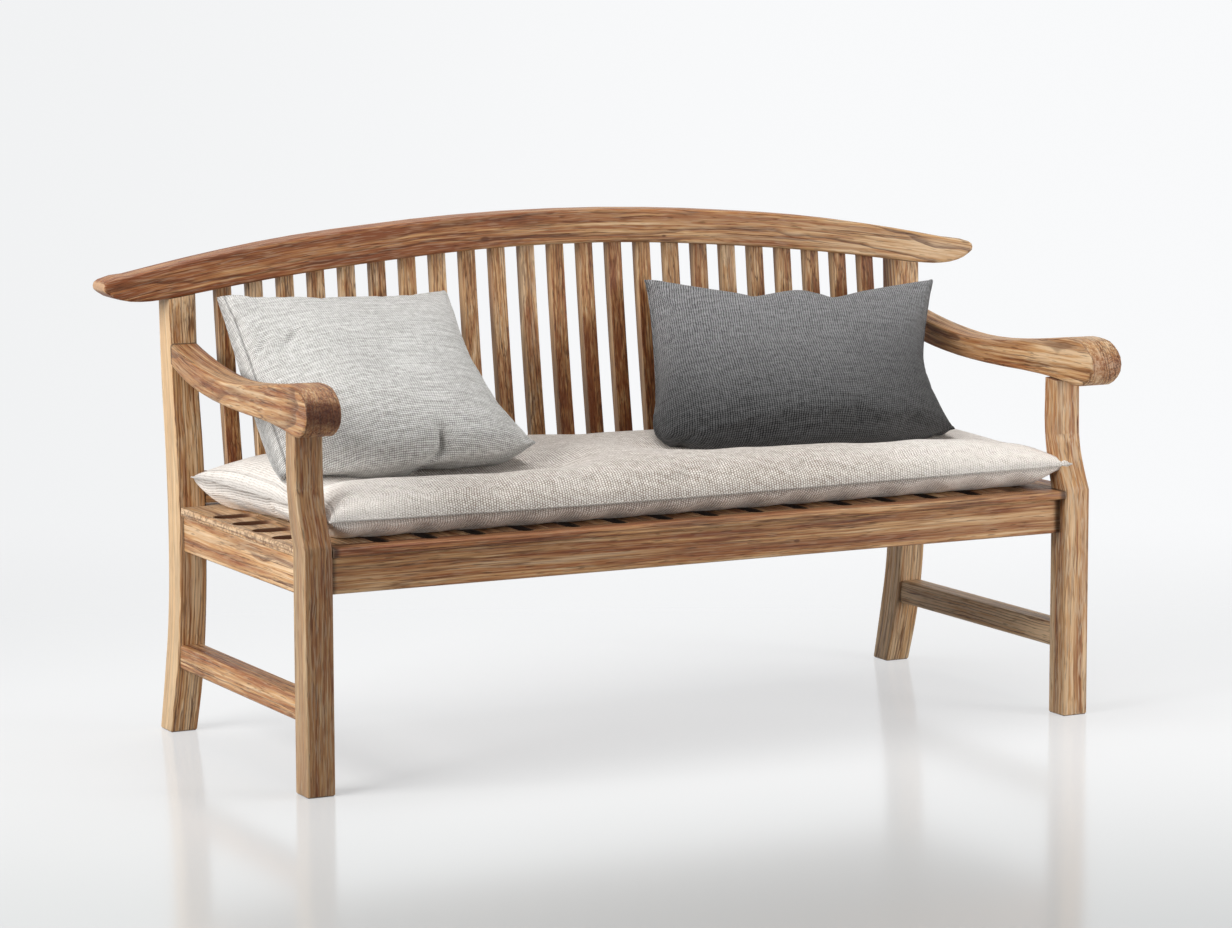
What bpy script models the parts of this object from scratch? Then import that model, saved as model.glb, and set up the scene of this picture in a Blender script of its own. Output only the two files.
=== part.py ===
"""Wooden garden bench for three: a curved crest rail over a slatted back, arms that end in
a scroll, a slatted seat on mortised rails, and three loose cushions.

Units are metres. X runs along the bench, Y from front to back, Z up from the floor.
The origin is on the floor, under the middle of the whole bench.
"""
import math

import bmesh
import bpy
from mathutils import Matrix, Vector

# Driving sizes of the frame; the crest rail is the widest piece, and the legs stand inside it
OVERALL_HEIGHT = 0.945
CREST_LENGTH = 1.855
CREST_OVERHANG = 0.1275
LEG_WIDTH = 0.053
FRONT_LEG_DEPTH = 0.053
REAR_LEG_DEPTH = 0.060
SIDE_CLEAR = 0.533
ARM_DROP = 0.307
FIT = 0.0003
WELD = 0.00003
OVERRUN = 0.012
ARRIS = 0.003
SOFT_ARRIS = 0.005
FINE_ARRIS = 0.0015

# Rails round the seat, hung from the crest's top so that a taller bench has longer legs
RAIL_DROP = 0.5965
RAIL_HEIGHT = 0.0657
FRONT_RAIL_INSET = 0.019
FRONT_RAIL_THICKNESS = 0.032
SIDE_RAIL_INSET = 0.007
SIDE_RAIL_THICKNESS = 0.030
REAR_RAIL_INSET = 0.010
REAR_RAIL_THICKNESS = 0.040
MIDDLE_RAIL_HEIGHT = 0.042
MIDDLE_RAIL_THICKNESS = 0.030
TENON_LENGTH = 0.022
TENON_GAP = 0.0043
TENON_SHOULDER = 0.010
SLIM_SHOULDER = 0.008

# Stretchers near the floor
STRETCHER_BOTTOM = 0.127
STRETCHER_HEIGHT = 0.045
STRETCHER_THICKNESS = 0.0435
STRETCHER_INSET = 0.004

# Seat boards
SEAT_THICKNESS = 0.016
NOSING_DEPTH = 0.046
SEAT_SLAT_COUNT = 14
SEAT_SLAT_SHIFT = 0.016
SEAT_SLOT_WIDTH = 0.028
SEAT_REAR_REACH = 0.046
END_BOARD_INSET = 0.003
END_BOARD_WIDTH = 0.132
END_SLOT_COUNT = 4
END_SLOT_PITCH = 0.0917
END_SLOT_WIDTH = 0.046
END_SLOT_LENGTH = 0.085
END_SLOT_RIM = 0.006
END_SLOT_START = 0.112

# Back
BACK_RAIL_GAP = 0.005
BACK_RAIL_HEIGHT = 0.0565
BACK_RAIL_THICKNESS = 0.030
BACK_RAIL_SETBACK = 0.003
BACK_SLAT_COUNT = 23
BACK_SLAT_END_GAP = 0.0606
BACK_SLAT_WIDTH = 0.030
BACK_SLAT_DEPTH = 0.020
BACK_SLAT_HOUSING = 0.014
BACK_SLAT_SHOULDER = 0.004
SLAT_FOOT_SETBACK = 0.013
SLAT_HEAD_SETBACK = 0.065
SLAT_BOW = 0.003
SLAT_BENDS = 4

# Crest rail
CREST_DEPTH = 0.062
CREST_SWEEP = 0.137
CREST_SETBACK = 0.032
POST_TENON = 0.026

# Arms
ARM_NOSE_REACH = 0.069
ARM_DEPTH = 0.079
ARM_INNER_FLARE = 0.009
ARM_OUTER_FLARE = 0.023
ARM_TENON_HEIGHT = 0.021

# Rear legs sweep back from a waist at seat height
REAR_LEG_SWEEP = 0.063
REAR_LEG_COPE = 0.022

# Cushions
PAD_DEPTH = 0.558
PAD_REAR_GAP = 0.009
PAD_CROWN = 0.105
PAD_SEAM_HEIGHT = 0.043
PAD_CORNER_LIFT = 0.006
PAD_PULL = 0.012
PAD_DENT = 0.024
PAD_DENT_REACH = 0.120
WELT = 0.006
PILLOW_FRONT_PUFF = 0.076
PILLOW_REAR_PUFF = 0.082
PILLOW_PULL_SHARE = 0.045
SOFT_GAP = 0.0005

# Curve and cage counts
LEG_STEPS = 4
ARM_STEPS = 3
CREST_STEPS = 2
ROUND_SIDES = 16
TIP_STEPS = 6
PAD_CELLS = (16, 8)
PILLOW_CELLS = (8, 6)
CUSHION_LEVELS = 1
EASE_ANGLE = 40
FLAT_ANGLE = 0.2

# Outlines. Each row is a place along the piece and one across it, as shares of its sizes.
# Rear leg: share of its height, then share of its sweep behind the waist
REAR_LEG_FRONT_SHARES = ((0.0, 1.0), (0.126, 0.46), (0.266, 0.13), (0.437, 0.0),
                         (0.624, 0.11), (0.80, 0.44), (1.0, 0.56))
REAR_LEG_BACK_SHARES = ((1.0, 0.48), (0.80, 0.35), (0.624, 0.11), (0.437, 0.0),
                        (0.255, 0.14), (0.114, 0.53), (0.0, 0.905))
# Front leg above the seat: share of its depth, then share of the height up to the arm
KNEE_FRONT_SHARES = ((0.30, 0.166), (0.62, 0.407), (0.70, 0.72))
KNEE_BACK_SHARES = ((1.49, 0.82), (1.49, 0.576), (1.32, 0.287), (1.15, 0.118))
KNEE_HEAD_FRONT_SHARE = 0.70
KNEE_HEAD_BACK_SHARE = 1.47
KNEE_HEAD_SHARE = 1.09
# Arm: share of its length back from the nose, then share of its depth above the leg's head
ARM_TOP_SHARES = ((0.916, 0.98), (0.726, 0.722), (0.581, 0.646), (0.392, 0.741),
                  (0.188, 0.943), (0.100, 1.0), (0.035, 0.861), (0.0, 0.430))
ARM_UNDER_SHARES = ((0.035, -0.013), (0.086, -0.114), (0.137, -0.063), (0.261, 0.025),
                    (0.537, 0.063), (0.756, 0.190), (0.901, 0.392))
ARM_REAR_TOP_SHARES = (1.035, 1.23)
ARM_REAR_UNDER_SHARES = (1.035, 0.73)
# Crest rail, middle to end: share of half its length, then share of its sweep
CREST_UNDER_SHARES = ((0.0, 0.526), (0.183, 0.50), (0.361, 0.419), (0.539, 0.309),
                      (0.712, 0.168), (0.816, 0.066), (0.879, 0.013), (0.921, 0.0),
                      (0.962, 0.037), (0.990, 0.125))
CREST_TIP_SHARES = (1.0, 0.213)
CREST_TOP_SHARES = ((0.989, 0.298), (0.940, 0.360), (0.857, 0.471), (0.730, 0.625),
                    (0.579, 0.772), (0.404, 0.882), (0.226, 0.963), (0.0, 1.0))
# Pillow corners: left top, right top, right bottom, left bottom, as shares of half the
# seat's width, of the seat's depth and of the back's height over the seat
LEFT_PILLOW_SHARES = ((-0.953, 1.058, 0.740), (-0.323, 1.058, 0.708),
                      (-0.321, 0.362, 0.252), (-0.993, 0.4215, 0.174))
RIGHT_PILLOW_SHARES = ((0.238, 1.049, 0.721), (1.030, 0.904, 0.675),
                       (0.874, 0.447, 0.174), (0.114, 0.623, 0.184))
# How far a pillow's top edge dips and its foot slumps between the corners, as shares of
# its height
LEFT_PILLOW_DROOP_SHARES = (0.03, 0.085)
RIGHT_PILLOW_DROOP_SHARES = (0.10, 0.15)
PAD_EDGE_POWER = 7
PAD_SIDE_POWER = 20
PUFF_POWER = 0.52

# Worked out from the sizes above
LEG_SPAN = CREST_LENGTH - 2 * CREST_OVERHANG
ARM_UNDERSIDE = OVERALL_HEIGHT - ARM_DROP
RAIL_BOTTOM = OVERALL_HEIGHT - RAIL_DROP
REAR_LEG_HEAD = OVERALL_HEIGHT - CREST_SWEEP + REAR_LEG_COPE
REAR_WAIST = FRONT_LEG_DEPTH + SIDE_CLEAR
REAR_HEEL = REAR_WAIST + REAR_LEG_DEPTH + REAR_LEG_BACK_SHARES[-1][1] * REAR_LEG_SWEEP
FACE_Y = -(REAR_HEEL - ARM_NOSE_REACH) / 2
WAIST_Y = FACE_Y + REAR_WAIST
LEG_OUTER = LEG_SPAN / 2
LEG_INNER = LEG_OUTER - LEG_WIDTH
LEG_CENTRE = LEG_OUTER - LEG_WIDTH / 2
RAIL_TOP = RAIL_BOTTOM + RAIL_HEIGHT
SEAT_UNDER = RAIL_TOP + FIT
SEAT_TOP = SEAT_UNDER + SEAT_THICKNESS
BACK_RAIL_BOTTOM = SEAT_TOP + BACK_RAIL_GAP
BACK_RAIL_TOP = BACK_RAIL_BOTTOM + BACK_RAIL_HEIGHT
BACK_RAIL_Y = WAIST_Y + BACK_RAIL_SETBACK
CREST_BOTTOM = OVERALL_HEIGHT - CREST_SWEEP
CREST_Y = WAIST_Y + CREST_SETBACK + CREST_DEPTH / 2
SEAT_REAR_Y = WAIST_Y + SEAT_REAR_REACH
NOSING_REAR_Y = FACE_Y + NOSING_DEPTH
ARM_NOSE_Y = FACE_Y - ARM_NOSE_REACH
END_BOARD_OUTER = LEG_OUTER - END_BOARD_INSET
SEAT_SLATS_HALF = END_BOARD_OUTER - END_BOARD_WIDTH - SEAT_SLOT_WIDTH / 2
SEAT_SLAT_PITCH = 2 * SEAT_SLATS_HALF / SEAT_SLAT_COUNT
BACK_SLAT_PITCH = 2 * (LEG_INNER - BACK_SLAT_END_GAP) / (BACK_SLAT_COUNT - 1)
PAD_WIDTH = 2 * (LEG_INNER - FIT)
SIDES = (("left", -1), ("right", 1))


def clear_scene():
    """Remove every object, so that the script starts from nothing."""
    for thing in list(bpy.data.objects):
        bpy.data.objects.remove(thing, do_unlink=True)


def new_collection(name):
    """A collection under the scene's own."""
    made = bpy.data.collections.new(name)
    bpy.context.scene.collection.children.link(made)
    return made


def material(name, colour, roughness):
    """A plain Principled finish for one sub-part."""
    made = bpy.data.materials.new(name)
    made.use_nodes = True
    shader = made.node_tree.nodes["Principled BSDF"]
    shader.inputs["Base Color"].default_value = (*colour, 1.0)
    shader.inputs["Roughness"].default_value = roughness
    shader.inputs["Metallic"].default_value = 0.0
    made.diffuse_color = (*colour, 1.0)
    return made


clear_scene()
BENCH = new_collection("garden_bench")
CUTTERS = new_collection("cutters")
WOOD = (0.36, 0.19, 0.085)
PALE_WOOD = (0.45, 0.25, 0.12)
DARK_WOOD = (0.27, 0.135, 0.06)
OATMEAL = (0.62, 0.56, 0.49)
OFF_WHITE = (0.76, 0.75, 0.72)
CHARCOAL = (0.10, 0.10, 0.11)
WOOD_ROUGHNESS = 0.5
CLOTH_ROUGHNESS = 0.9


def keep(mesh, name, colour, roughness=WOOD_ROUGHNESS):
    """Put a mesh in the bench as one named piece with its own material."""
    piece = bpy.data.objects.new(name, mesh)
    mesh.materials.clear()
    mesh.materials.append(material(name, colour, roughness))
    BENCH.objects.link(piece)
    piece.parent = FRAME
    return piece


def cutter(mesh, name):
    """Put a mesh among the cutters, which the build leaves out."""
    made = bpy.data.objects.new(name, mesh)
    CUTTERS.objects.link(made)
    made.hide_render = True
    made.display_type = "WIRE"
    return made


def finish_mesh(bm, name):
    """Close off a bmesh as a mesh with its faces pointing out."""
    bmesh.ops.recalc_face_normals(bm, faces=bm.faces)
    mesh = bpy.data.meshes.new(name)
    bm.to_mesh(mesh)
    bm.free()
    return mesh


def add_box(bm, low, high):
    """Add one box between two corners."""
    low = Vector(low)
    high = Vector(high)
    size = Matrix.Diagonal((*(high - low), 1.0))
    return bmesh.ops.create_cube(bm, size=1.0, matrix=Matrix.Translation((low + high) / 2) @ size)


def boxes_mesh(boxes, name):
    """One mesh that holds separate boxes."""
    bm = bmesh.new()
    for low, high in boxes:
        add_box(bm, low, high)
    return finish_mesh(bm, name)


def grown(box, by=FIT):
    """A box with the clearance added all round."""
    low, high = box
    return tuple(v - by for v in low), tuple(v + by for v in high)


def mirrored(box, side):
    """A box of the right side, moved to the given side."""
    (x0, y0, z0), (x1, y1, z1) = box
    xs = sorted((side * x0, side * x1))
    return (xs[0], y0, z0), (xs[1], y1, z1)


def boolean(piece, tool, operation, name):
    """Cut or join with an exact Boolean."""
    step = piece.modifiers.new(name, "BOOLEAN")
    step.operation = operation
    step.solver = "EXACT"
    step.object = tool


def soften(piece, width, segments=1):
    """Ease the sharp edges of a piece."""
    step = piece.modifiers.new("eased_edges", "BEVEL")
    step.width = width
    step.segments = segments
    step.limit_method = "ANGLE"
    step.angle_limit = math.radians(EASE_ANGLE)
    step.harden_normals = False


def draw_tenon(bm, face, shoulder, length):
    """Inset an end face and draw it out into a tenon."""
    outward = face.normal.copy()
    bmesh.ops.inset_individual(bm, faces=[face], thickness=shoulder, use_even_offset=True)
    made = bmesh.ops.extrude_discrete_faces(bm, faces=[face])
    bmesh.ops.translate(bm, verts=made["faces"][0].verts, vec=outward * length)


def bar_mesh(name, box, axis, tenons=(), shoulder=TENON_SHOULDER, arris=ARRIS,
             length=TENON_LENGTH):
    """A straight bar between two corners, with tenons on the ends named by -1 and 1."""
    bm = bmesh.new()
    add_box(bm, *box)
    bm.faces.ensure_lookup_table()
    long_edges = []
    for edge in bm.edges:
        along = edge.verts[0].co - edge.verts[1].co
        if abs(along[axis]) > max(abs(along[i]) for i in range(3) if i != axis):
            long_edges.append(edge)
    ends = [face for face in bm.faces if abs(face.normal[axis]) > max(
        abs(face.normal[i]) for i in range(3) if i != axis)]
    for face in ends:
        if math.copysign(1, face.normal[axis]) in tenons:
            draw_tenon(bm, face, shoulder, length)
    if arris:
        bmesh.ops.bevel(bm, geom=long_edges, offset=arris, segments=1, affect="EDGES")
    return finish_mesh(bm, name)


def outline_mesh(points, thickness, name, steps):
    """A board sawn to an outline: points are (along, up, sharp) in the curve's own plane."""
    curve = bpy.data.curves.new(name, "CURVE")
    curve.dimensions = "2D"
    curve.fill_mode = "BOTH"
    curve.extrude = thickness / 2
    curve.resolution_u = steps
    curve.render_resolution_u = 0
    spline = curve.splines.new("BEZIER")
    spline.bezier_points.add(len(points) - 1)
    for knot, (along, up, sharp) in zip(spline.bezier_points, points):
        knot.co = (along, up, 0)
        kind = "VECTOR" if sharp else "AUTO"
        knot.handle_left_type = kind
        knot.handle_right_type = kind
    spline.use_cyclic_u = True
    guide = bpy.data.objects.new(name, curve)
    CUTTERS.objects.link(guide)
    bpy.context.view_layer.update()
    shape = guide.evaluated_get(bpy.context.evaluated_depsgraph_get())
    mesh = bpy.data.meshes.new_from_object(shape)
    bpy.data.objects.remove(guide, do_unlink=True)
    bm = bmesh.new()
    bm.from_mesh(mesh)
    bpy.data.meshes.remove(mesh)
    bmesh.ops.remove_doubles(bm, verts=bm.verts, dist=WELD)
    bmesh.ops.dissolve_limit(bm, angle_limit=math.radians(FLAT_ANGLE), verts=bm.verts, edges=bm.edges)
    return finish_mesh(bm, name)


def stand(mesh, matrix):
    """Turn a mesh from its outline's plane to its place."""
    mesh.transform(matrix)
    mesh.update()
    return mesh


def side_plane(x, y=0.0, z=0.0):
    """Outline plane to the bench's side: along is Y, up is Z, and thickness runs in X."""
    return Matrix(((0, 0, 1, x), (1, 0, 0, y), (0, 1, 0, z), (0, 0, 0, 1)))


def front_plane(y, z=0.0):
    """Outline plane to the bench's front: along is X, up is Z, and thickness runs in Y."""
    return Matrix(((1, 0, 0, 0), (0, 0, -1, y), (0, 1, 0, z), (0, 0, 0, 1)))


def read_shares(shares, place):
    """Straight reading between the rows of a table of shares."""
    rows = sorted(shares)
    for (a, fa), (b, fb) in zip(rows, rows[1:]):
        if a <= place <= b:
            return fa + (fb - fa) * (place - a) / (b - a)
    return rows[0][1] if place < rows[0][0] else rows[-1][1]


def rear_leg_front(z):
    """Y of the rear leg's front face at a height."""
    return WAIST_Y + REAR_LEG_SWEEP * read_shares(REAR_LEG_FRONT_SHARES, z / REAR_LEG_HEAD)


def crest_under(x):
    """Height of the crest rail's underside at a place along it."""
    share = read_shares(CREST_UNDER_SHARES, abs(x) / (CREST_LENGTH / 2))
    return CREST_BOTTOM + CREST_SWEEP * share


FRAME = bpy.data.objects.new("bench_frame", None)
BENCH.objects.link(FRAME)


def rear_leg_points():
    """Outline of a rear leg, up its front and down its back."""
    front = [(WAIST_Y + share * REAR_LEG_SWEEP, z * REAR_LEG_HEAD, z in (0.0, 1.0))
             for z, share in REAR_LEG_FRONT_SHARES]
    back = [(WAIST_Y + REAR_LEG_DEPTH + share * REAR_LEG_SWEEP, z * REAR_LEG_HEAD,
             z in (0.0, 1.0)) for z, share in REAR_LEG_BACK_SHARES]
    return front + back


def front_leg_points():
    """Outline of a front leg: straight to the seat, then set back under the arm."""
    rise = ARM_UNDERSIDE - SEAT_TOP
    head = SEAT_TOP + KNEE_HEAD_SHARE * rise

    def curved(rows):
        return [(FACE_Y + y * FRONT_LEG_DEPTH, SEAT_TOP + z * rise, False) for y, z in rows]

    points = [(FACE_Y, 0.0, True), (FACE_Y, SEAT_TOP, True)]
    points += curved(KNEE_FRONT_SHARES)
    points.append((FACE_Y + KNEE_HEAD_FRONT_SHARE * FRONT_LEG_DEPTH, head, True))
    points.append((FACE_Y + KNEE_HEAD_BACK_SHARE * FRONT_LEG_DEPTH, head, True))
    points += curved(KNEE_BACK_SHARES)
    points.append((FACE_Y + FRONT_LEG_DEPTH, SEAT_TOP, True))
    points.append((FACE_Y + FRONT_LEG_DEPTH, 0.0, True))
    return points


def arm_length():
    """From the arm's nose to the rear leg's face behind the arm."""
    return rear_leg_front(ARM_UNDERSIDE + ARM_DEPTH) - ARM_NOSE_Y


def arm_points():
    """Outline of an arm, forward along its top, round the scroll and back underneath."""
    length = arm_length()

    def placed(row, sharp=False):
        return (ARM_NOSE_Y + row[0] * length, ARM_UNDERSIDE + row[1] * ARM_DEPTH, sharp)

    points = [placed(ARM_REAR_TOP_SHARES, True)]
    points += [placed(row) for row in ARM_TOP_SHARES]
    points += [placed(row) for row in ARM_UNDER_SHARES]
    points.append(placed(ARM_REAR_UNDER_SHARES, True))
    return points


def crest_points():
    """Outline of the crest rail, from its middle to both ends."""
    half = CREST_LENGTH / 2

    def placed(row, side):
        return (side * row[0] * half, CREST_BOTTOM + row[1] * CREST_SWEEP, False)

    right = [*CREST_UNDER_SHARES, CREST_TIP_SHARES, *CREST_TOP_SHARES]
    left = [row for row in reversed(right) if row[0] > 0]
    return [placed(row, 1) for row in right] + [placed(row, -1) for row in left]


def rail_box(x0, x1, y0, y1, z0, z1):
    """Corners of a box from its limits on each axis."""
    return (x0, y0, z0), (x1, y1, z1)


def end_tenon(box, axis, end, shoulder=TENON_SHOULDER, length=TENON_LENGTH):
    """The space that a bar's tenon takes beyond one end."""
    low = [v + shoulder for v in box[0]]
    high = [v - shoulder for v in box[1]]
    if end > 0:
        low[axis] = box[1][axis]
        high[axis] = box[1][axis] + length
    else:
        low[axis] = box[0][axis] - length
        high[axis] = box[0][axis]
    return tuple(low), tuple(high)


# Straight members, as boxes; side members are given for the right side
HALF_BETWEEN = LEG_INNER - FIT
SIDE_FRONT_Y = FACE_Y + FRONT_LEG_DEPTH + FIT
SIDE_REAR_Y = WAIST_Y - FIT
FRONT_RAIL = rail_box(-HALF_BETWEEN, HALF_BETWEEN, FACE_Y + FRONT_RAIL_INSET,
                      FACE_Y + FRONT_RAIL_INSET + FRONT_RAIL_THICKNESS, RAIL_BOTTOM, RAIL_TOP)
REAR_RAIL = rail_box(-HALF_BETWEEN, HALF_BETWEEN, WAIST_Y + REAR_RAIL_INSET,
                     WAIST_Y + REAR_RAIL_INSET + REAR_RAIL_THICKNESS, RAIL_BOTTOM, RAIL_TOP)
SIDE_RAIL = rail_box(LEG_OUTER - SIDE_RAIL_INSET - SIDE_RAIL_THICKNESS,
                     LEG_OUTER - SIDE_RAIL_INSET, SIDE_FRONT_Y, SIDE_REAR_Y,
                     RAIL_BOTTOM, RAIL_TOP)
# The front and rear rails' tenons stop short of the side rails' tenons inside the legs
CROSS_TENON = SIDE_RAIL[0][0] + TENON_SHOULDER - TENON_GAP - HALF_BETWEEN
MIDDLE_Y = (FRONT_RAIL[0][1] + REAR_RAIL[1][1]) / 2
MIDDLE_HALF = SIDE_RAIL[0][0] - FIT
MIDDLE_RAIL = rail_box(-MIDDLE_HALF, MIDDLE_HALF, MIDDLE_Y - MIDDLE_RAIL_THICKNESS / 2,
                       MIDDLE_Y + MIDDLE_RAIL_THICKNESS / 2, RAIL_TOP - MIDDLE_RAIL_HEIGHT,
                       RAIL_TOP)
BACK_RAIL = rail_box(-HALF_BETWEEN, HALF_BETWEEN, BACK_RAIL_Y,
                     BACK_RAIL_Y + BACK_RAIL_THICKNESS, BACK_RAIL_BOTTOM, BACK_RAIL_TOP)
STRETCHER_MIDDLE = STRETCHER_BOTTOM + STRETCHER_HEIGHT / 2
STRETCHER = rail_box(LEG_OUTER - STRETCHER_INSET - STRETCHER_THICKNESS,
                     LEG_OUTER - STRETCHER_INSET, SIDE_FRONT_Y,
                     rear_leg_front(STRETCHER_BOTTOM) + OVERRUN, STRETCHER_BOTTOM,
                     STRETCHER_BOTTOM + STRETCHER_HEIGHT)

# Tenons that are joined on after a coped end, with the places of their mortises
CREST_TENON = rail_box(
    LEG_CENTRE - POST_TENON / 2, LEG_CENTRE + POST_TENON / 2,
    CREST_Y - POST_TENON / 2, CREST_Y + POST_TENON / 2,
    crest_under(LEG_OUTER) - OVERRUN, crest_under(LEG_INNER) + TENON_LENGTH)
LEG_HEAD_Y = FACE_Y + FRONT_LEG_DEPTH * (KNEE_HEAD_FRONT_SHARE + KNEE_HEAD_BACK_SHARE) / 2
LEG_TENON = rail_box(
    LEG_CENTRE - POST_TENON / 2, LEG_CENTRE + POST_TENON / 2,
    LEG_HEAD_Y - POST_TENON / 2, LEG_HEAD_Y + POST_TENON / 2,
    ARM_UNDERSIDE - OVERRUN, ARM_UNDERSIDE + TENON_LENGTH)
ARM_REAR_MIDDLE = ARM_UNDERSIDE + ARM_DEPTH * (
    ARM_REAR_TOP_SHARES[1] + ARM_REAR_UNDER_SHARES[1]) / 2 - TENON_SHOULDER / 2
ARM_TENON = rail_box(
    LEG_CENTRE - POST_TENON / 2, LEG_CENTRE + POST_TENON / 2,
    rear_leg_front(ARM_REAR_MIDDLE) - OVERRUN, rear_leg_front(ARM_REAR_MIDDLE) + TENON_LENGTH,
    ARM_REAR_MIDDLE - ARM_TENON_HEIGHT / 2, ARM_REAR_MIDDLE + ARM_TENON_HEIGHT / 2)
STRETCHER_TENON = rail_box(
    STRETCHER[0][0] + TENON_SHOULDER, STRETCHER[1][0] - TENON_SHOULDER,
    rear_leg_front(STRETCHER_MIDDLE) - OVERRUN, rear_leg_front(STRETCHER_MIDDLE) + TENON_LENGTH,
    STRETCHER_BOTTOM + TENON_SHOULDER, STRETCHER_BOTTOM + STRETCHER_HEIGHT - TENON_SHOULDER)


def build_rear_legs():
    """Rear legs: one sawn sweep each, coped under the crest and mortised for six joints."""
    cope = cutter(stand(outline_mesh(crest_points(), CREST_DEPTH + REAR_LEG_DEPTH,
                                     "crest_cope", CREST_STEPS),
                        front_plane(CREST_Y, -FIT)), "crest_cope")
    holes = [end_tenon(SIDE_RAIL, 1, 1), end_tenon(REAR_RAIL, 0, 1, length=CROSS_TENON),
             end_tenon(BACK_RAIL, 0, 1, SLIM_SHOULDER), STRETCHER_TENON, ARM_TENON]
    for name, side in SIDES:
        mesh = stand(outline_mesh(rear_leg_points(), LEG_WIDTH, "rear_leg", LEG_STEPS),
                     side_plane(side * LEG_CENTRE))
        leg = keep(mesh, f"rear_leg_{name}", WOOD)
        soften(leg, ARRIS)
        boolean(leg, cope, "DIFFERENCE", "coped_to_crest")
        tenon = cutter(boxes_mesh([mirrored(CREST_TENON, side)], "crest_tenon"),
                       f"crest_tenon_{name}")
        boolean(leg, tenon, "UNION", "tenon")
        mortises = cutter(boxes_mesh([grown(mirrored(hole, side)) for hole in holes],
                                     "mortises"), f"rear_mortises_{name}")
        boolean(leg, mortises, "DIFFERENCE", "mortises")


def build_front_legs():
    """Front legs: square to the seat, then curved back and tenoned into the arm."""
    holes = [end_tenon(SIDE_RAIL, 1, -1), end_tenon(FRONT_RAIL, 0, 1, length=CROSS_TENON),
             end_tenon(STRETCHER, 1, -1)]
    for name, side in SIDES:
        mesh = stand(outline_mesh(front_leg_points(), LEG_WIDTH, "front_leg", LEG_STEPS),
                     side_plane(side * LEG_CENTRE))
        leg = keep(mesh, f"front_leg_{name}", WOOD)
        soften(leg, ARRIS)
        cope = cutter(stand(outline_mesh(arm_points(), LEG_WIDTH + OVERRUN, "arm_cope",
                                         ARM_STEPS),
                            side_plane(side * LEG_CENTRE, 0.0, -FIT)), f"arm_cope_{name}")
        boolean(leg, cope, "DIFFERENCE", "coped_to_arm")
        tenon = cutter(boxes_mesh([mirrored(LEG_TENON, side)], "leg_tenon"),
                       f"leg_tenon_{name}")
        boolean(leg, tenon, "UNION", "tenon")
        mortises = cutter(boxes_mesh([grown(mirrored(hole, side)) for hole in holes],
                                     "mortises"), f"front_mortises_{name}")
        boolean(leg, mortises, "DIFFERENCE", "mortises")


def flare(mesh, side):
    """Widen an arm from the leg's width at the back to its full width at the nose."""
    length = arm_length()
    for vertex in mesh.vertices:
        share = 1 - (vertex.co.y - ARM_NOSE_Y) / length
        outer = side * vertex.co.x > LEG_CENTRE
        vertex.co.x += side * share * (ARM_OUTER_FLARE if outer else ARM_INNER_FLARE)
    mesh.update()
    return mesh


def build_arms():
    """Arms: sawn to a dip and a scroll, flared forward, and tenoned into the rear legs."""
    for name, side in SIDES:
        mesh = stand(outline_mesh(arm_points(), LEG_WIDTH, "arm", ARM_STEPS),
                     side_plane(side * LEG_CENTRE))
        arm = keep(flare(mesh, side), f"arm_{name}", PALE_WOOD)
        soften(arm, SOFT_ARRIS, 2)
        cope = cutter(stand(outline_mesh(rear_leg_points(), LEG_WIDTH + OVERRUN, "leg_cope",
                                         LEG_STEPS),
                            side_plane(side * LEG_CENTRE, -FIT)), f"leg_cope_{name}")
        boolean(arm, cope, "DIFFERENCE", "coped_to_leg")
        tenon = cutter(boxes_mesh([mirrored(ARM_TENON, side)], "arm_tenon"),
                       f"arm_tenon_{name}")
        boolean(arm, tenon, "UNION", "tenon")
        socket = cutter(boxes_mesh([grown(mirrored(LEG_TENON, side))], "arm_mortise"),
                        f"arm_mortise_{name}")
        boolean(arm, socket, "DIFFERENCE", "mortise")


def build_seat_frame():
    """Front, rear, side and middle rails, with tenons at every end."""
    ends = (-1, 1)
    keep(bar_mesh("front_rail", FRONT_RAIL, 0, ends, length=CROSS_TENON), "front_rail", WOOD)
    keep(bar_mesh("rear_seat_rail", REAR_RAIL, 0, ends, length=CROSS_TENON), "rear_seat_rail",
         DARK_WOOD)
    keep(bar_mesh("middle_rail", MIDDLE_RAIL, 0, ends), "seat_middle_rail", DARK_WOOD)
    for name, side in SIDES:
        box = mirrored(SIDE_RAIL, side)
        rail = keep(bar_mesh("side_rail", box, 1, ends), f"side_rail_{name}", PALE_WOOD)
        hole = mirrored(end_tenon(MIDDLE_RAIL, 0, 1), side)
        socket = cutter(boxes_mesh([grown(hole)], "middle_mortise"), f"middle_mortise_{name}")
        boolean(rail, socket, "DIFFERENCE", "mortise")


def build_stretchers():
    """Low side stretchers, coped to the sweep of the rear legs."""
    for name, side in SIDES:
        mesh = bar_mesh("stretcher", mirrored(STRETCHER, side), 1, (-1,))
        bar = keep(mesh, f"stretcher_{name}", PALE_WOOD)
        boolean(bar, bpy.data.objects[f"leg_cope_{name}"], "DIFFERENCE", "coped_to_leg")
        tenon = cutter(boxes_mesh([mirrored(STRETCHER_TENON, side)], "stretcher_tenon"),
                       f"stretcher_tenon_{name}")
        boolean(bar, tenon, "UNION", "tenon")


def slat_y(z):
    """Y of a back slat's middle at a height: raked, with a slight bow backwards."""
    foot = BACK_RAIL_TOP
    head = crest_under(0.0)
    share = (z - foot) / (head - foot)
    rake = SLAT_FOOT_SETBACK + (SLAT_HEAD_SETBACK - SLAT_FOOT_SETBACK) * share
    return WAIST_Y + rake + 4 * SLAT_BOW * share * (1 - share)


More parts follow.
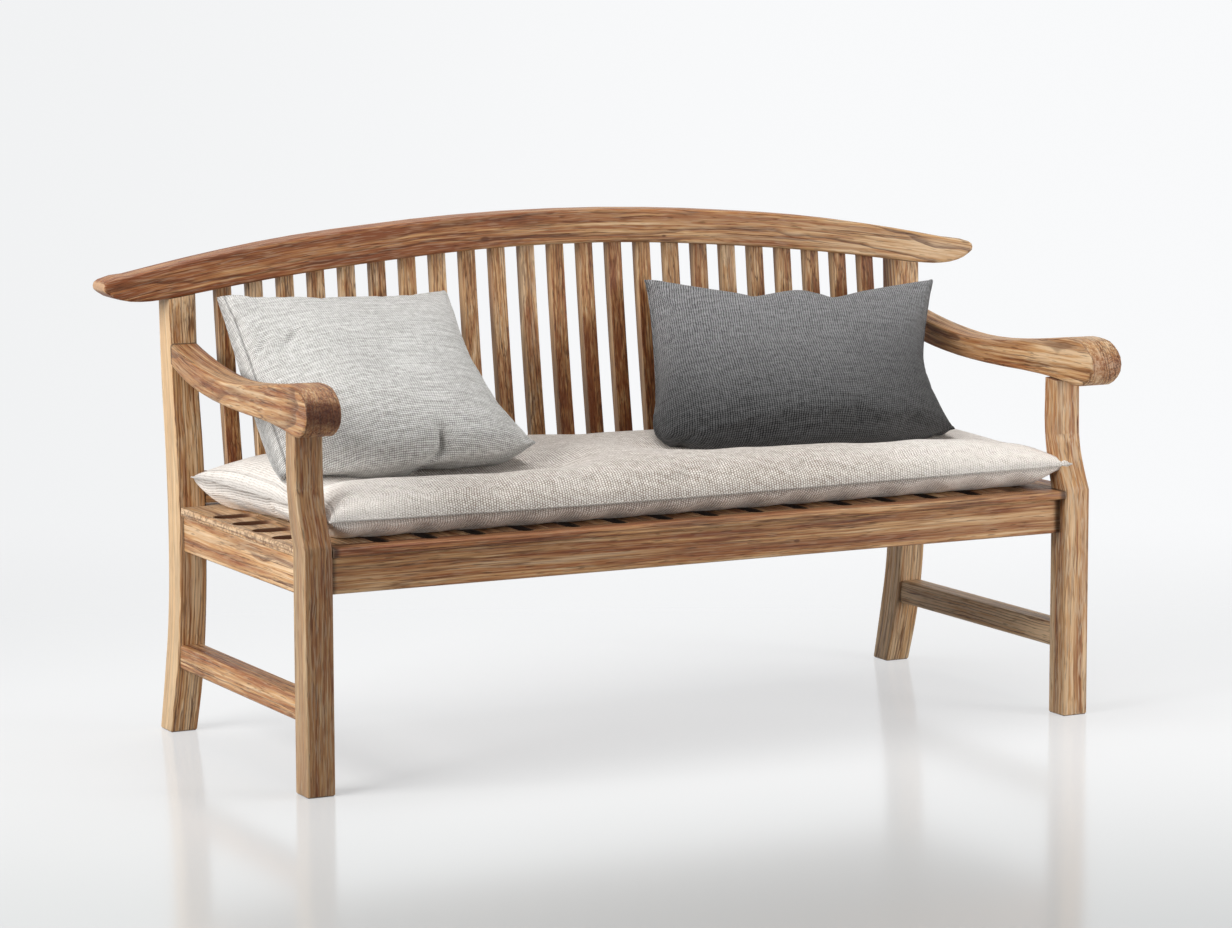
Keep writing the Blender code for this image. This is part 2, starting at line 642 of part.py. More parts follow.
def rake_mesh(bm):
    """Lean an upright bar over to the back's rake, bending it at a few heights."""
    foot = BACK_RAIL_TOP
    head = crest_under(0.0)
    for i in range(1, SLAT_BENDS):
        level = foot + (head - foot) * i / SLAT_BENDS
        everything = bm.verts[:] + bm.edges[:] + bm.faces[:]
        bmesh.ops.bisect_plane(bm, geom=everything, plane_co=(0, 0, level),
                               plane_no=(0, 0, 1), dist=WELD)
    for vertex in bm.verts:
        vertex.co.y += slat_y(vertex.co.z)


def slat_places():
    """X of each back slat."""
    first = -BACK_SLAT_PITCH * (BACK_SLAT_COUNT - 1) / 2
    return [first + i * BACK_SLAT_PITCH for i in range(BACK_SLAT_COUNT)]


def slat_section(x, z0, z1, by=0.0, shoulder=0.0):
    """An upright box of a slat's section, before it is raked."""
    half = BACK_SLAT_WIDTH / 2 - shoulder + by
    deep = BACK_SLAT_DEPTH / 2 - shoulder + by
    return rail_box(x - half, x + half, -deep, deep, z0, z1)


def build_back():
    """Lower back rail, crest rail and the slats that are housed between them."""
    heads = bmesh.new()
    feet = bmesh.new()
    foot = BACK_RAIL_TOP + FIT
    for i, x in enumerate(slat_places()):
        head = crest_under(x) + BACK_SLAT_HOUSING
        mesh = bar_mesh("back_slat", slat_section(x, foot, head), 2, (), 0.0, FINE_ARRIS)
        bm = bmesh.new()
        bm.from_mesh(mesh)
        bpy.data.meshes.remove(mesh)
        bm.faces.ensure_lookup_table()
        under = min(bm.faces, key=lambda face: face.normal.z)
        bmesh.ops.delete(bm, geom=[under], context="FACES_ONLY")
        rim = [edge for edge in bm.edges if edge.is_boundary]
        add_foot(bm, rim, x, foot)
        rake_mesh(bm)
        keep(finish_mesh(bm, "back_slat"), f"back_slat_{i + 1:02d}", WOOD)
        add_box(heads, *slat_section(x, crest_under(x) - OVERRUN, head + FIT, FIT))
        add_box(feet, *slat_section(x, foot - BACK_SLAT_HOUSING - FIT, foot + OVERRUN, FIT,
                                    BACK_SLAT_SHOULDER))
    rake_mesh(heads)
    rake_mesh(feet)
    head_holes = cutter(finish_mesh(heads, "slat_heads"), "slat_heads")
    foot_holes = cutter(finish_mesh(feet, "slat_feet"), "slat_feet")
    crest_mesh = stand(outline_mesh(crest_points(), CREST_DEPTH, "crest_rail", CREST_STEPS),
                       front_plane(CREST_Y))
    crest = keep(crest_mesh, "crest_rail", WOOD)
    soften(crest, SOFT_ARRIS, 2)
    boolean(crest, head_holes, "DIFFERENCE", "slat_mortises")
    posts = [grown(mirrored(CREST_TENON, side)) for _, side in SIDES]
    boolean(crest, cutter(boxes_mesh(posts, "post_mortises"), "post_mortises"), "DIFFERENCE",
            "post_mortises")
    rail_mesh = bar_mesh("back_rail", BACK_RAIL, 0, (-1, 1), SLIM_SHOULDER)
    rail = keep(rail_mesh, "lower_back_rail", DARK_WOOD)
    boolean(rail, foot_holes, "DIFFERENCE", "slat_mortises")


def add_foot(bm, rim, x, foot):
    """Close a slat's open lower end with a shoulder and a stub tenon."""
    made = bmesh.ops.edgeloop_fill(bm, edges=rim)
    face = made["faces"][0]
    bmesh.ops.recalc_face_normals(bm, faces=bm.faces)
    inner = bmesh.ops.extrude_discrete_faces(bm, faces=[face])["faces"][0]
    half = BACK_SLAT_WIDTH / 2 - BACK_SLAT_SHOULDER
    deep = BACK_SLAT_DEPTH / 2 - BACK_SLAT_SHOULDER
    wide_x = BACK_SLAT_WIDTH / 2
    wide_y = BACK_SLAT_DEPTH / 2
    for vertex in inner.verts:
        vertex.co.x = x + (vertex.co.x - x) * half / wide_x
        vertex.co.y = vertex.co.y * deep / wide_y
    tip = bmesh.ops.extrude_discrete_faces(bm, faces=[inner])["faces"][0]
    for vertex in tip.verts:
        vertex.co.z = foot - BACK_SLAT_HOUSING


def stadium(x0, x1, y, width):
    """Outline of a slot with round ends, along X."""
    radius = width / 2
    points = []
    for centre, start in ((x1 - radius, -90), (x0 + radius, 90)):
        for i in range(TIP_STEPS + 1):
            turn = math.radians(start + 180 * i / TIP_STEPS)
            points.append((centre + radius * math.cos(turn), y + radius * math.sin(turn)))
    return points


def prism(points, z0, z1):
    """A closed upright prism over an outline in plan."""
    curve = bpy.data.curves.new("prism", "CURVE")
    curve.dimensions = "2D"
    curve.fill_mode = "BOTH"
    curve.extrude = (z1 - z0) / 2
    curve.render_resolution_u = 0
    spline = curve.splines.new("POLY")
    spline.points.add(len(points) - 1)
    for knot, (x, y) in zip(spline.points, points):
        knot.co = (x, y, 0, 1)
    spline.use_cyclic_u = True
    guide = bpy.data.objects.new("prism", curve)
    CUTTERS.objects.link(guide)
    bpy.context.view_layer.update()
    shape = guide.evaluated_get(bpy.context.evaluated_depsgraph_get())
    mesh = bpy.data.meshes.new_from_object(shape)
    bpy.data.objects.remove(guide, do_unlink=True)
    mesh.transform(Matrix.Translation((0, 0, (z0 + z1) / 2)))
    return mesh


def merged(meshes, name):
    """Several closed meshes in one, each with its caps welded."""
    bm = bmesh.new()
    for mesh in meshes:
        bm.from_mesh(mesh)
        bpy.data.meshes.remove(mesh)
    bmesh.ops.remove_doubles(bm, verts=bm.verts, dist=WELD)
    return finish_mesh(bm, name)


def build_seat():
    """Nosing, seat slats and slotted end boards, laid on the rails."""
    low = SEAT_UNDER
    nosing_box = rail_box(-HALF_BETWEEN, HALF_BETWEEN, FACE_Y, NOSING_REAR_Y, low, SEAT_TOP)
    nosing = keep(bar_mesh("nosing", nosing_box, 0), "seat_nosing", PALE_WOOD)
    tips = bmesh.new()
    for i in range(SEAT_SLAT_COUNT + 1):
        x = SEAT_SLAT_SHIFT + (i - SEAT_SLAT_COUNT / 2) * SEAT_SLAT_PITCH
        bmesh.ops.create_cone(
            tips, cap_ends=True, segments=ROUND_SIDES, radius1=SEAT_SLOT_WIDTH / 2,
            radius2=SEAT_SLOT_WIDTH / 2, depth=SEAT_THICKNESS + 2 * OVERRUN,
            matrix=Matrix.Translation((x, NOSING_REAR_Y, (low + SEAT_TOP) / 2)))
    boolean(nosing, cutter(finish_mesh(tips, "slot_tips"), "slot_tips"), "DIFFERENCE", "tips")
    half = (SEAT_SLAT_PITCH - SEAT_SLOT_WIDTH) / 2
    front = NOSING_REAR_Y + FIT
    for i in range(SEAT_SLAT_COUNT):
        x = SEAT_SLAT_SHIFT + (i - (SEAT_SLAT_COUNT - 1) / 2) * SEAT_SLAT_PITCH
        box = rail_box(x - half, x + half, front, SEAT_REAR_Y, low, SEAT_TOP)
        keep(bar_mesh("seat_slat", box, 1, (), 0.0, FINE_ARRIS), f"seat_slat_{i + 1:02d}",
             WOOD)
    outer = END_BOARD_OUTER
    for name, side in SIDES:
        inner = outer - END_BOARD_WIDTH + side * SEAT_SLAT_SHIFT
        box = mirrored(rail_box(inner, outer, front, SEAT_REAR_Y, low, SEAT_TOP), side)
        board = keep(bar_mesh("end_board", box, 1, (), 0.0, FINE_ARRIS),
                     f"seat_end_board_{name}", PALE_WOOD)
        above = SEAT_TOP + OVERRUN
        below = low - OVERRUN
        notches = [
            rail_box(HALF_BETWEEN, outer + OVERRUN, front - OVERRUN, SIDE_FRONT_Y, below,
                     above),
            rail_box(HALF_BETWEEN, outer + OVERRUN, SIDE_REAR_Y, SEAT_REAR_Y + OVERRUN, below,
                     above)]
        cut = cutter(boxes_mesh([mirrored(notch, side) for notch in notches], "notches"),
                     f"leg_notches_{name}")
        boolean(board, cut, "DIFFERENCE", "leg_notches")
        slots = []
        for i in range(END_SLOT_COUNT):
            y = SIDE_FRONT_Y + END_SLOT_START + i * END_SLOT_PITCH
            far = outer - END_SLOT_RIM
            ends = sorted((side * far, side * (far - END_SLOT_LENGTH)))
            slots.append(prism(stadium(*ends, y, END_SLOT_WIDTH), below, above))
        boolean(board, cutter(merged(slots, "end_slots"), f"end_slots_{name}"), "DIFFERENCE",
                "slots")


def cage(cells):
    """A unit block cut into cells that are finer towards its edges."""
    bm = bmesh.new()
    bmesh.ops.create_cube(bm, size=1)
    for axis, count in enumerate(cells):
        across = Vector((axis == 0, axis == 1, 0))
        for i in range(1, count):
            place = math.sin(math.radians(180 * i / count - 90)) / 2
            everything = bm.verts[:] + bm.edges[:] + bm.faces[:]
            bmesh.ops.bisect_plane(bm, geom=everything, plane_co=across * place,
                                   plane_no=across)
    return bm


def round_out(piece):
    """Smooth a coarse cushion cage, with the same facets on a cushion and on its cutter."""
    step = piece.modifiers.new("soft", "SUBSURF")
    step.levels = CUSHION_LEVELS
    step.render_levels = CUSHION_LEVELS
    split = piece.modifiers.new("flat_facets", "TRIANGULATE")
    split.quad_method = "FIXED"


def pillow_corners(shares):
    """Corners of a pillow's seam, from shares of the seat and back."""
    back = OVERALL_HEIGHT - SEAT_TOP
    return [Vector((x * LEG_INNER, FACE_Y + y * REAR_WAIST, SEAT_TOP + z * back))
            for x, y, z in shares]


def pad_dent(x, y):
    """How far the pillows press the pad in at a place in plan."""
    deepest = 0.0
    for shares in (LEFT_PILLOW_SHARES, RIGHT_PILLOW_SHARES):
        corners = pillow_corners(shares)
        right, left = corners[2], corners[3]
        along = min(max((x - left.x) / (right.x - left.x), 0), 1)
        line = left.lerp(right, along)
        away = math.hypot(x - line.x, y - line.y) / PAD_DENT_REACH
        deepest = max(deepest, PAD_DENT * math.exp(-2 * away * away))
    return deepest


def build_pad():
    """Seat pad: flat below, crowned on top, with a seam round its pulled-in edge."""
    bm = cage(PAD_CELLS)
    middle = BACK_RAIL_Y - PAD_REAR_GAP - PAD_DEPTH / 2
    for vertex in bm.verts:
        u, v, w = 2 * vertex.co
        x = u * (PAD_WIDTH / 2 - PAD_PULL * (1 - v * v))
        y = middle + v * (PAD_DEPTH / 2 - PAD_PULL * (1 - u * u))
        seam = PAD_SEAM_HEIGHT + PAD_CORNER_LIFT * u * u * v * v
        full = math.sqrt(max((1 - abs(u) ** PAD_SIDE_POWER) * (1 - abs(v) ** PAD_EDGE_POWER), 0))
        if w > 0:
            rise = seam + WELT / 2 + (PAD_CROWN - seam) * full - pad_dent(x, y) * full
        else:
            rise = max(seam - WELT / 2 - PAD_CROWN * full, SOFT_GAP)
        vertex.co = (x, y, SEAT_TOP + rise)
    pad = keep(finish_mesh(bm, "seat_pad"), "seat_pad", OATMEAL, CLOTH_ROUGHNESS)
    round_out(pad)
    return pad


def build_pillow(name, shares, droop, colour):
    """A pillow leaning on the back: pointed corners, a dipped top and a slumped foot."""
    bm = cage(PILLOW_CELLS)
    left_top, right_top, right_foot, left_foot = pillow_corners(shares)
    facing = (right_top - left_foot).cross(left_top - right_foot).normalized()
    for vertex in bm.verts:
        u, v, w = 2 * vertex.co
        across = (1 + u * (1 - PILLOW_PULL_SHARE * (1 - v * v))) / 2
        top = 1 - droop[0] * (1 - u * u)
        foot = -droop[1] * (1 - u * u)
        up = foot + (top - foot) * (1 + v) / 2
        low = left_foot.lerp(right_foot, across)
        seam = low + (left_top.lerp(right_top, across) - low) * up
        full = max((1 - u * u) * (1 - v * v), 0) ** PUFF_POWER
        puff = PILLOW_FRONT_PUFF if w > 0 else PILLOW_REAR_PUFF
        vertex.co = seam + facing * w * (WELT / 2 + puff * full)
    pillow = keep(finish_mesh(bm, name), name, colour, CLOTH_ROUGHNESS)
    round_out(pillow)
    return pillow


def build_cushions():
    """The pad and two pillows, which are cut flat where they lie on what carries them."""
    pad = build_pad()
    pressed = cutter(pad.data.copy(), "pad_press")
    round_out(pressed)
    clearance = pressed.modifiers.new("clearance", "DISPLACE")
    clearance.strength = SOFT_GAP
    clearance.mid_level = 0
    wall = bmesh.new()
    reach = LEG_SPAN / 2
    add_box(wall, (-reach, -BACK_SLAT_DEPTH / 2 - SOFT_GAP, SEAT_TOP),
            (reach, CREST_DEPTH, OVERALL_HEIGHT))
    rake_mesh(wall)
    back = cutter(finish_mesh(wall, "back_press"), "back_press")
    for name, shares, droop, colour in (
            ("pillow_left", LEFT_PILLOW_SHARES, LEFT_PILLOW_DROOP_SHARES, OFF_WHITE),
            ("pillow_right", RIGHT_PILLOW_SHARES, RIGHT_PILLOW_DROOP_SHARES, CHARCOAL)):
        pillow = build_pillow(name, shares, droop, colour)
        boolean(pillow, pressed, "DIFFERENCE", "rests_on_pad")
        boolean(pillow, back, "DIFFERENCE", "leans_on_back")


build_rear_legs()
build_front_legs()
build_arms()
build_seat_frame()
build_stretchers()
build_back()
build_seat()
build_cushions()
print("pieces in the bench:", len([thing for thing in BENCH.objects if thing.data]))
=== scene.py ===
# %% [markdown]
# # A slatted garden bench with three loose cushions
#
# The construction is a finished model: every board, leg, slat and rail arrives as a fixed solid,
# and nothing here moves one. This lesson gives them their looks: streaky oiled hardwood on the
# frame, and sewn, stuffed cushions in place of the three plain ones.

# %% Load the fixed frame
import math
import random

import bpy
import mathutils.noise
import numpy as np
from mathutils import Matrix, Vector


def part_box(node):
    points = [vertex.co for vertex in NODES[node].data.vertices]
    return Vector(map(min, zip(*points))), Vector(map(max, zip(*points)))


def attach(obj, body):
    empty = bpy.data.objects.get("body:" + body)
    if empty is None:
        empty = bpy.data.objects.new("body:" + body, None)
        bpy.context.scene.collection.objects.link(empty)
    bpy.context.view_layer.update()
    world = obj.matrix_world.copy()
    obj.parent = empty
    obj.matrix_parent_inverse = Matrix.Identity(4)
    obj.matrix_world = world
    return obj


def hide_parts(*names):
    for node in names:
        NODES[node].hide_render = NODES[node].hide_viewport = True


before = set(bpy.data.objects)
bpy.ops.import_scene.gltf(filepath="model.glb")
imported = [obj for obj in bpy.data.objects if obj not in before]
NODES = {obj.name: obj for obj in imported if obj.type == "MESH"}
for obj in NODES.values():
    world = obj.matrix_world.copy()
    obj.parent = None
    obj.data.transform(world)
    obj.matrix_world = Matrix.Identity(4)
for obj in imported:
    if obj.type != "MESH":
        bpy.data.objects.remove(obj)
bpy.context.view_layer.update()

# %% [markdown]
# ## The camera
#
# The photograph was taken with a long lens from well off to the left, a little above the arms.
# The angles were found by matching leg feet, rail ends and arm tips, so the render can be laid
# over the photograph.

# %% Camera
SENSOR_WIDTH = 36.0
LENS = 120.06
CAMERA_PLACE = Vector((-3.491, -6.7148, 1.5236))
CAMERA_YAW = 0.474825
CAMERA_PITCH = 0.135478
CAMERA_ROLL = -0.0028043
SCENE = bpy.context.scene


def add_object(name, data):
    """A new object in the scene."""
    made = bpy.data.objects.new(name, data)
    SCENE.collection.objects.link(made)
    return made


def make_camera():
    """A long lens turned by yaw to the right, pitch downwards and a trace of roll."""
    data = bpy.data.cameras.new("camera")
    data.sensor_width = SENSOR_WIDTH
    data.lens = LENS
    camera = add_object("camera", data)
    turn = Matrix.Rotation(-CAMERA_YAW, 4, "Z")
    tilt = Matrix.Rotation(math.pi / 2 - CAMERA_PITCH, 4, "X")
    roll = Matrix.Rotation(CAMERA_ROLL, 4, "Z")
    camera.matrix_world = Matrix.Translation(CAMERA_PLACE) @ turn @ tilt @ roll
    return camera


SCENE.camera = make_camera()
SCENE.view_settings.view_transform = "Standard"
print("camera looks from", tuple(round(v, 2) for v in CAMERA_PLACE))

# %% [markdown]
# ## Writing shaders as sums
#
# A procedural finish is a long sum of small steps. Wiring each by hand hides the sum, so this
# class wraps a node's output and lets Python's operators add the Math and Vector Math nodes. Every
# other kind of node comes from its one method, `node`.

# %% Shader sums


def operator(operation, reflected=False):
    """The method for one sign, with the link before it, or after it where reflected."""
    def method(self, other):
        return self.combine(operation, *((other, self) if reflected else (self, other)))
    return method


class Link:
    """A node's output. Operators add Math nodes, and node() adds any other kind."""

    __add__, __radd__ = operator("ADD"), operator("ADD", True)
    __sub__, __rsub__ = operator("SUBTRACT"), operator("SUBTRACT", True)
    __mul__, __rmul__ = operator("MULTIPLY"), operator("MULTIPLY", True)
    __truediv__, __pow__, __lt__ = operator("DIVIDE"), operator("POWER"), operator("LESS_THAN")

    def __init__(self, tree, socket):
        self.tree = tree
        self.socket = socket

    def node(self, kind, settings=None, values=None, output=0):
        """Add a node: its settings first, then the values or links of its sockets."""
        made = self.tree.nodes.new(kind)
        for name, setting in (settings or {}).items():
            setattr(made, name, setting)
        for key, value in (values or {}).items():
            if isinstance(value, Link):
                self.tree.links.new(value.socket, made.inputs[key])
            else:
                made.inputs[key].default_value = value
        return Link(self.tree, made.outputs[output])

    def combine(self, operation, first, second):
        """One Math node, or one Vector Math node where either side is a vector or colour."""
        pair, kind = (first, second), "ShaderNodeMath"
        if any(isinstance(v, Link) and v.socket.type != "VALUE" for v in pair):
            pair = (v if isinstance(v, (Link, tuple)) else (v, v, v) for v in pair)
            kind = "ShaderNodeVectorMath"
        return self.node(kind, {"operation": operation}, dict(enumerate(pair)))

    def __abs__(self):
        return self.unary("ABSOLUTE")

    def unary(self, operation):
        """A Math node with one input, such as SINE or FRACT."""
        return self.node("ShaderNodeMath", {"operation": operation}, {0: self})

    def most(self, other):
        """The larger of two."""
        return self.combine("MAXIMUM", self, other)

    def over(self, low, high, kind="SMOOTHSTEP"):
        """A step from 0 at low to 1 at high, soft unless kind is LINEAR."""
        return self.node("ShaderNodeMapRange", {"interpolation_type": kind},
                         {"Value": self, "From Min": low, "From Max": high})

    def parts(self):
        """The three numbers of a vector."""
        split = self.node("ShaderNodeSeparateXYZ", None, {0: self}).socket.node
        return [Link(self.tree, output) for output in split.outputs]

    def with_parts(self, x, y, z):
        """A vector from three numbers or links."""
        return self.node("ShaderNodeCombineXYZ", None, {0: x, 1: y, 2: z})

    def noise(self, detail, roughness=0.5):
        """Cloudy values round 0.5 over a vector."""
        return self.node("ShaderNodeTexNoise", {"noise_dimensions": "3D"},
                         {"Vector": self, "Scale": 1.0, "Detail": detail, "Roughness": roughness})

    def mix(self, first, second):
        """A colour between two, by this factor."""
        return self.node("ShaderNodeMix", {"data_type": "RGBA"},
                         {"Factor": self, "A": first, "B": second}, output="Result")


def set_stops(ramp, stops):
    """Give a colour ramp its stops, each a place and a colour."""
    while len(ramp.elements) < len(stops):
        ramp.elements.new(0.5)
    for element, (place, colour) in zip(ramp.elements, stops):
        element.position = place
        element.color = colour


def new_material(name, roughness, specular):
    """A Principled material. Returns it, its shader node and its object coordinates."""
    made = bpy.data.materials.new(name)
    made.use_nodes = True
    shader = made.node_tree.nodes["Principled BSDF"]
    shader.inputs["Roughness"].default_value = roughness
    shader.inputs["Specular IOR Level"].default_value = specular
    where = made.node_tree.nodes.new("ShaderNodeTexCoord")
    return made, shader, Link(made.node_tree, where.outputs["Object"])


def feed(shader, **links):
    """Join links to a shader's sockets, named with underscores for spaces."""
    for name, link in links.items():
        link.tree.links.new(link.socket, shader.inputs[name.replace("_", " ")])



# %% [markdown]
# ## A pale studio
#
# The bench stands on a glossy white floor without a horizon. A disc can do that if it fades out
# with distance into a world of nearly the same white. What the camera, a reflection or clear
# glass sees of the world is close to white, a touch greyer on the left. What lights the bench is
# dimmer, so that pale cloth keeps its shading. The floor's colour is painted darker in front and on
# the left, a painted shade as in the photograph, and it bounces only part of its light.

# %% World and floor
FLOOR_RADIUS = 14.0
FLOOR_CORNERS = 48
FLOOR_ROUGHNESS = 0.14
FLOOR_GLOSS = 0.3
FLOOR_WHITE = (0.865, 0.874, 0.876, 1.0)
# The floor's colour in front, darker: painted shade
FLOOR_FRONT = (0.58, 0.592, 0.594, 1.0)
FLOOR_BOUNCE = 0.55
# Where the floor fades out, in metres behind the bench and all round it
FADE_BEHIND = (0.35, 2.6)
FADE_ROUND = (3.0, 9.0)
# From front to back, where the floor turns white and glows like the backdrop
LIFT_FROM = (-1.7, 0.4)
LIFT = 0.56
# From left to right, where the floor's painted shade on the left ends
LEFT_FROM = (-2.0, -0.2)
LEFT_DIM = 0.28
WHITE = (1.0, 1.0, 1.0, 1.0)
BACKDROP_WHITE = (0.945, 0.952, 0.962, 1.0)
BACKDROP_LEFT = (0.88, 0.888, 0.896, 1.0)
BACKDROP_TURN = (-0.17, 0.06)
SKY_LIGHT = 0.27


def white_behind(tree):
    """1 where a camera, glossy or transmission ray looks, and 0 for light that bounces."""
    path = tree.nodes.new("ShaderNodeLightPath")
    seen = [Link(tree, path.outputs[name]) for name in
            ("Is Camera Ray", "Is Glossy Ray", "Is Transmission Ray")]
    return seen[0].most(seen[1]).most(seen[2])


def make_world():
    """Close to white to look at, and dimmer as a light."""
    world = bpy.data.worlds.new("studio")
    world.use_nodes = True
    SCENE.world = world
    tree = world.node_tree
    sky = tree.nodes["Background"]
    seen = white_behind(tree)
    way = tree.nodes.new("ShaderNodeTexCoord")
    east, north, _ = Link(tree, way.outputs["Generated"]).parts()
    right = east * math.cos(CAMERA_YAW) - north * math.sin(CAMERA_YAW)
    backdrop = right.over(*BACKDROP_TURN).mix(BACKDROP_LEFT, BACKDROP_WHITE)
    tree.links.new(seen.mix(WHITE, backdrop).socket, sky.inputs["Color"])
    tree.links.new((SKY_LIGHT + seen * (1 - SKY_LIGHT)).socket, sky.inputs["Strength"])


def make_floor():
    """A glossy white disc that fades out behind the bench and far from it."""
    bpy.ops.mesh.primitive_circle_add(vertices=FLOOR_CORNERS, radius=FLOOR_RADIUS,
                                      fill_type="NGON")
    floor = bpy.context.object
    floor.name = "floor"
    made, shader, where = new_material("floor_white", FLOOR_ROUGHNESS, FLOOR_GLOSS)
    far = where.node("ShaderNodeVectorMath", {"operation": "LENGTH"}, {0: where}, output=1)
    across, deep, _ = where.parts()
    behind = across * math.sin(CAMERA_YAW) + deep * math.cos(CAMERA_YAW)
    gone = behind.over(*FADE_BEHIND).most(far.over(*FADE_ROUND))
    aside = across * math.cos(CAMERA_YAW) - deep * math.sin(CAMERA_YAW)
    base = behind.over(*LIFT_FROM).mix(FLOOR_FRONT, FLOOR_WHITE)
    base = base * (1 - LEFT_DIM + aside.over(*LEFT_FROM) * LEFT_DIM)
    seen = white_behind(made.node_tree)
    feed(shader, Base_Color=seen.mix(base * FLOOR_BOUNCE, base))
    lift = behind.over(*LIFT_FROM) * LIFT * seen
    glow = lift.node("ShaderNodeEmission", None, {"Color": BACKDROP_WHITE})
    lifted = lift.node("ShaderNodeMixShader", None,
                       {0: lift, 1: Link(lift.tree, shader.outputs[0]), 2: glow})
    clear = gone.node("ShaderNodeBsdfTransparent")
    mixed = gone.node("ShaderNodeMixShader", None, {0: gone, 1: lifted, 2: clear})
    output = made.node_tree.nodes["Material Output"]
    made.node_tree.links.new(mixed.socket, output.inputs["Surface"])
    floor.data.materials.append(made)


make_world()
make_floor()
print("the floor fades out from", FADE_BEHIND[0], "m behind the bench")

# %% [markdown]
# ## Three soft boxes
#
# The left faces are the brightest, so the main light is a large panel on the left, a little in
# front of the bench. A second panel overhead fills the cushions' tops, and a small low one at the
# right front lifts the fronts of the arms and legs at that end, as in the photograph.

# %% Lights
LIGHT_AIM = Vector((0.0, 0.0, 0.45))
# Each panel's name, place, size in metres, watts and colour
SOFT_BOXES = (
    ("left_panel", (-3.7, -0.6, 1.9), (2.2, 1.8), 142.0, (1.0, 0.995, 0.985)),
    ("top_panel", (0.1, 0.1, 3.3), (3.0, 1.4), 54.0, (1.0, 1.0, 1.0)),
    ("right_panel", (2.5, -2.4, 0.75), (1.2, 1.2), 54.0, (1.0, 0.99, 0.97)),
)


def soft_box(name, place, size, power, colour):
    """A rectangular area light that faces the bench."""
    data = bpy.data.lights.new(name, "AREA")
    data.shape = "RECTANGLE"
    data.size, data.size_y = size
    data.energy = power
    data.color = colour
    lamp = add_object(name, data)
    lamp.location = place
    lamp.rotation_euler = (LIGHT_AIM - Vector(place)).to_track_quat("-Z", "Y").to_euler()


for box in SOFT_BOXES:
    soft_box(*box)
print("soft boxes:", [box[0] for box in SOFT_BOXES])

# %% [markdown]
# ## Crisp faces with eased edges
#
# The solids come as loose flat triangles. Three modifiers, which leave the solids' shapes alone,
# make them read as planed wood: a weld joins the triangles, a small node group shades every edge
# under a limit smooth, and weighted normals keep the broad faces flat, so that only the narrow
# eased edges turn the light.

# %% Smooth shading for the fixed solids
WELD_DISTANCE = 0.00002
SMOOTH_UNDER = math.radians(50)
FACE_WEIGHT = 100


def shading_group():
    """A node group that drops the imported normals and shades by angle."""
    group = bpy.data.node_groups.new("planed_wood_shading", "GeometryNodeTree")
    for way in ("INPUT", "OUTPUT"):
        group.interface.new_socket("Geometry", in_out=way, socket_type="NodeSocketGeometry")
    start = group.nodes.new("NodeGroupInput")
    end = group.nodes.new("NodeGroupOutput")
    angle = group.nodes.new("GeometryNodeInputMeshEdgeAngle")
    sharp = group.nodes.new("FunctionNodeCompare")
    sharp.data_type = "FLOAT"
    sharp.operation = "GREATER_THAN"
    sharp.inputs[1].default_value = SMOOTH_UNDER
    shade = group.nodes.new("GeometryNodeSetMeshNormal")
    shade.mode = "SHARPNESS"
    shade.inputs["Remove Custom"].default_value = True
    group.links.new(angle.outputs[0], sharp.inputs[0])
    group.links.new(start.outputs[0], shade.inputs["Mesh"])
    group.links.new(sharp.outputs[0], shade.inputs["Edge Sharpness"])
    group.links.new(shade.outputs[0], end.inputs[0])
    return group


SHADING = shading_group()


def plane_smooth(piece):
    """Weld a solid's triangles and shade it as planed wood with eased edges."""
    weld = piece.modifiers.new("weld", "WELD")
    weld.merge_threshold = WELD_DISTANCE
    shade = piece.modifiers.new("shade_by_angle", "NODES")
    shade.node_group = SHADING
    even = piece.modifiers.new("flat_faces_first", "WEIGHTED_NORMAL")
    even.keep_sharp = True
    even.weight = FACE_WEIGHT


SOFT_NODES = ("seat_pad", "pillow_left", "pillow_right")
WOOD_NODES = [name for name in NODES if name not in SOFT_NODES]
for name in WOOD_NODES:
    plane_smooth(NODES[name])
print("smoothed", len(WOOD_NODES), "wooden pieces")

# %% [markdown]
# ## Which way the grain runs
#
# Each piece was sawn along the grain, so its streaks follow its length, and those of the curved
# pieces bend with them. Every function here turns a place on the bench into a place in the plank
# it came from: along the grain, and two ways across it.

# %% Grain directions
CREST_BEND = 0.105
WAIST_HEIGHT = 0.363
LEG_SWEEP_BELOW = 0.46
LEG_SWEEP_ABOVE = 0.18
# Each step of a front leg's knee: from and to which height, and how far it goes back
KNEE = ((0.4305, 0.48, 0.0213), (0.48, 0.535, 0.0155))
ARM_RISE_FROM = -0.006
ARM_RISE = 0.42


def straight(axis):
    """The function for grain along one axis."""
    def lines(where):
        parts = where.parts()
        return [parts.pop(axis), *parts]
    return lines


def along_crest(where):
    """The crest's streaks arch with it."""
    x, y, z = where.parts()
    return x, y, z + x * x * CREST_BEND


def along_rear_leg(where):
    """A rear leg's streaks sweep back above and below its waist."""
    x, y, z = where.parts()
    above = z - WAIST_HEIGHT
    sweep = LEG_SWEEP_ABOVE + (above < 0.0) * (LEG_SWEEP_BELOW - LEG_SWEEP_ABOVE)
    return z, x, y - above * above * sweep


def along_front_leg(where):
    """A front leg's streaks step back over its knee."""
    x, y, z = where.parts()
    for low, high, shift in KNEE:
        y = y - z.over(low, high, "LINEAR") * shift
    return z, x, y


def along_arm(where):
    """An arm's streaks rise towards the back."""
    x, y, z = where.parts()
    behind = (y - ARM_RISE_FROM).most(0.0)
    return y, x, z - behind * behind * ARM_RISE


print("grain runs straight, or along four kinds of curve")
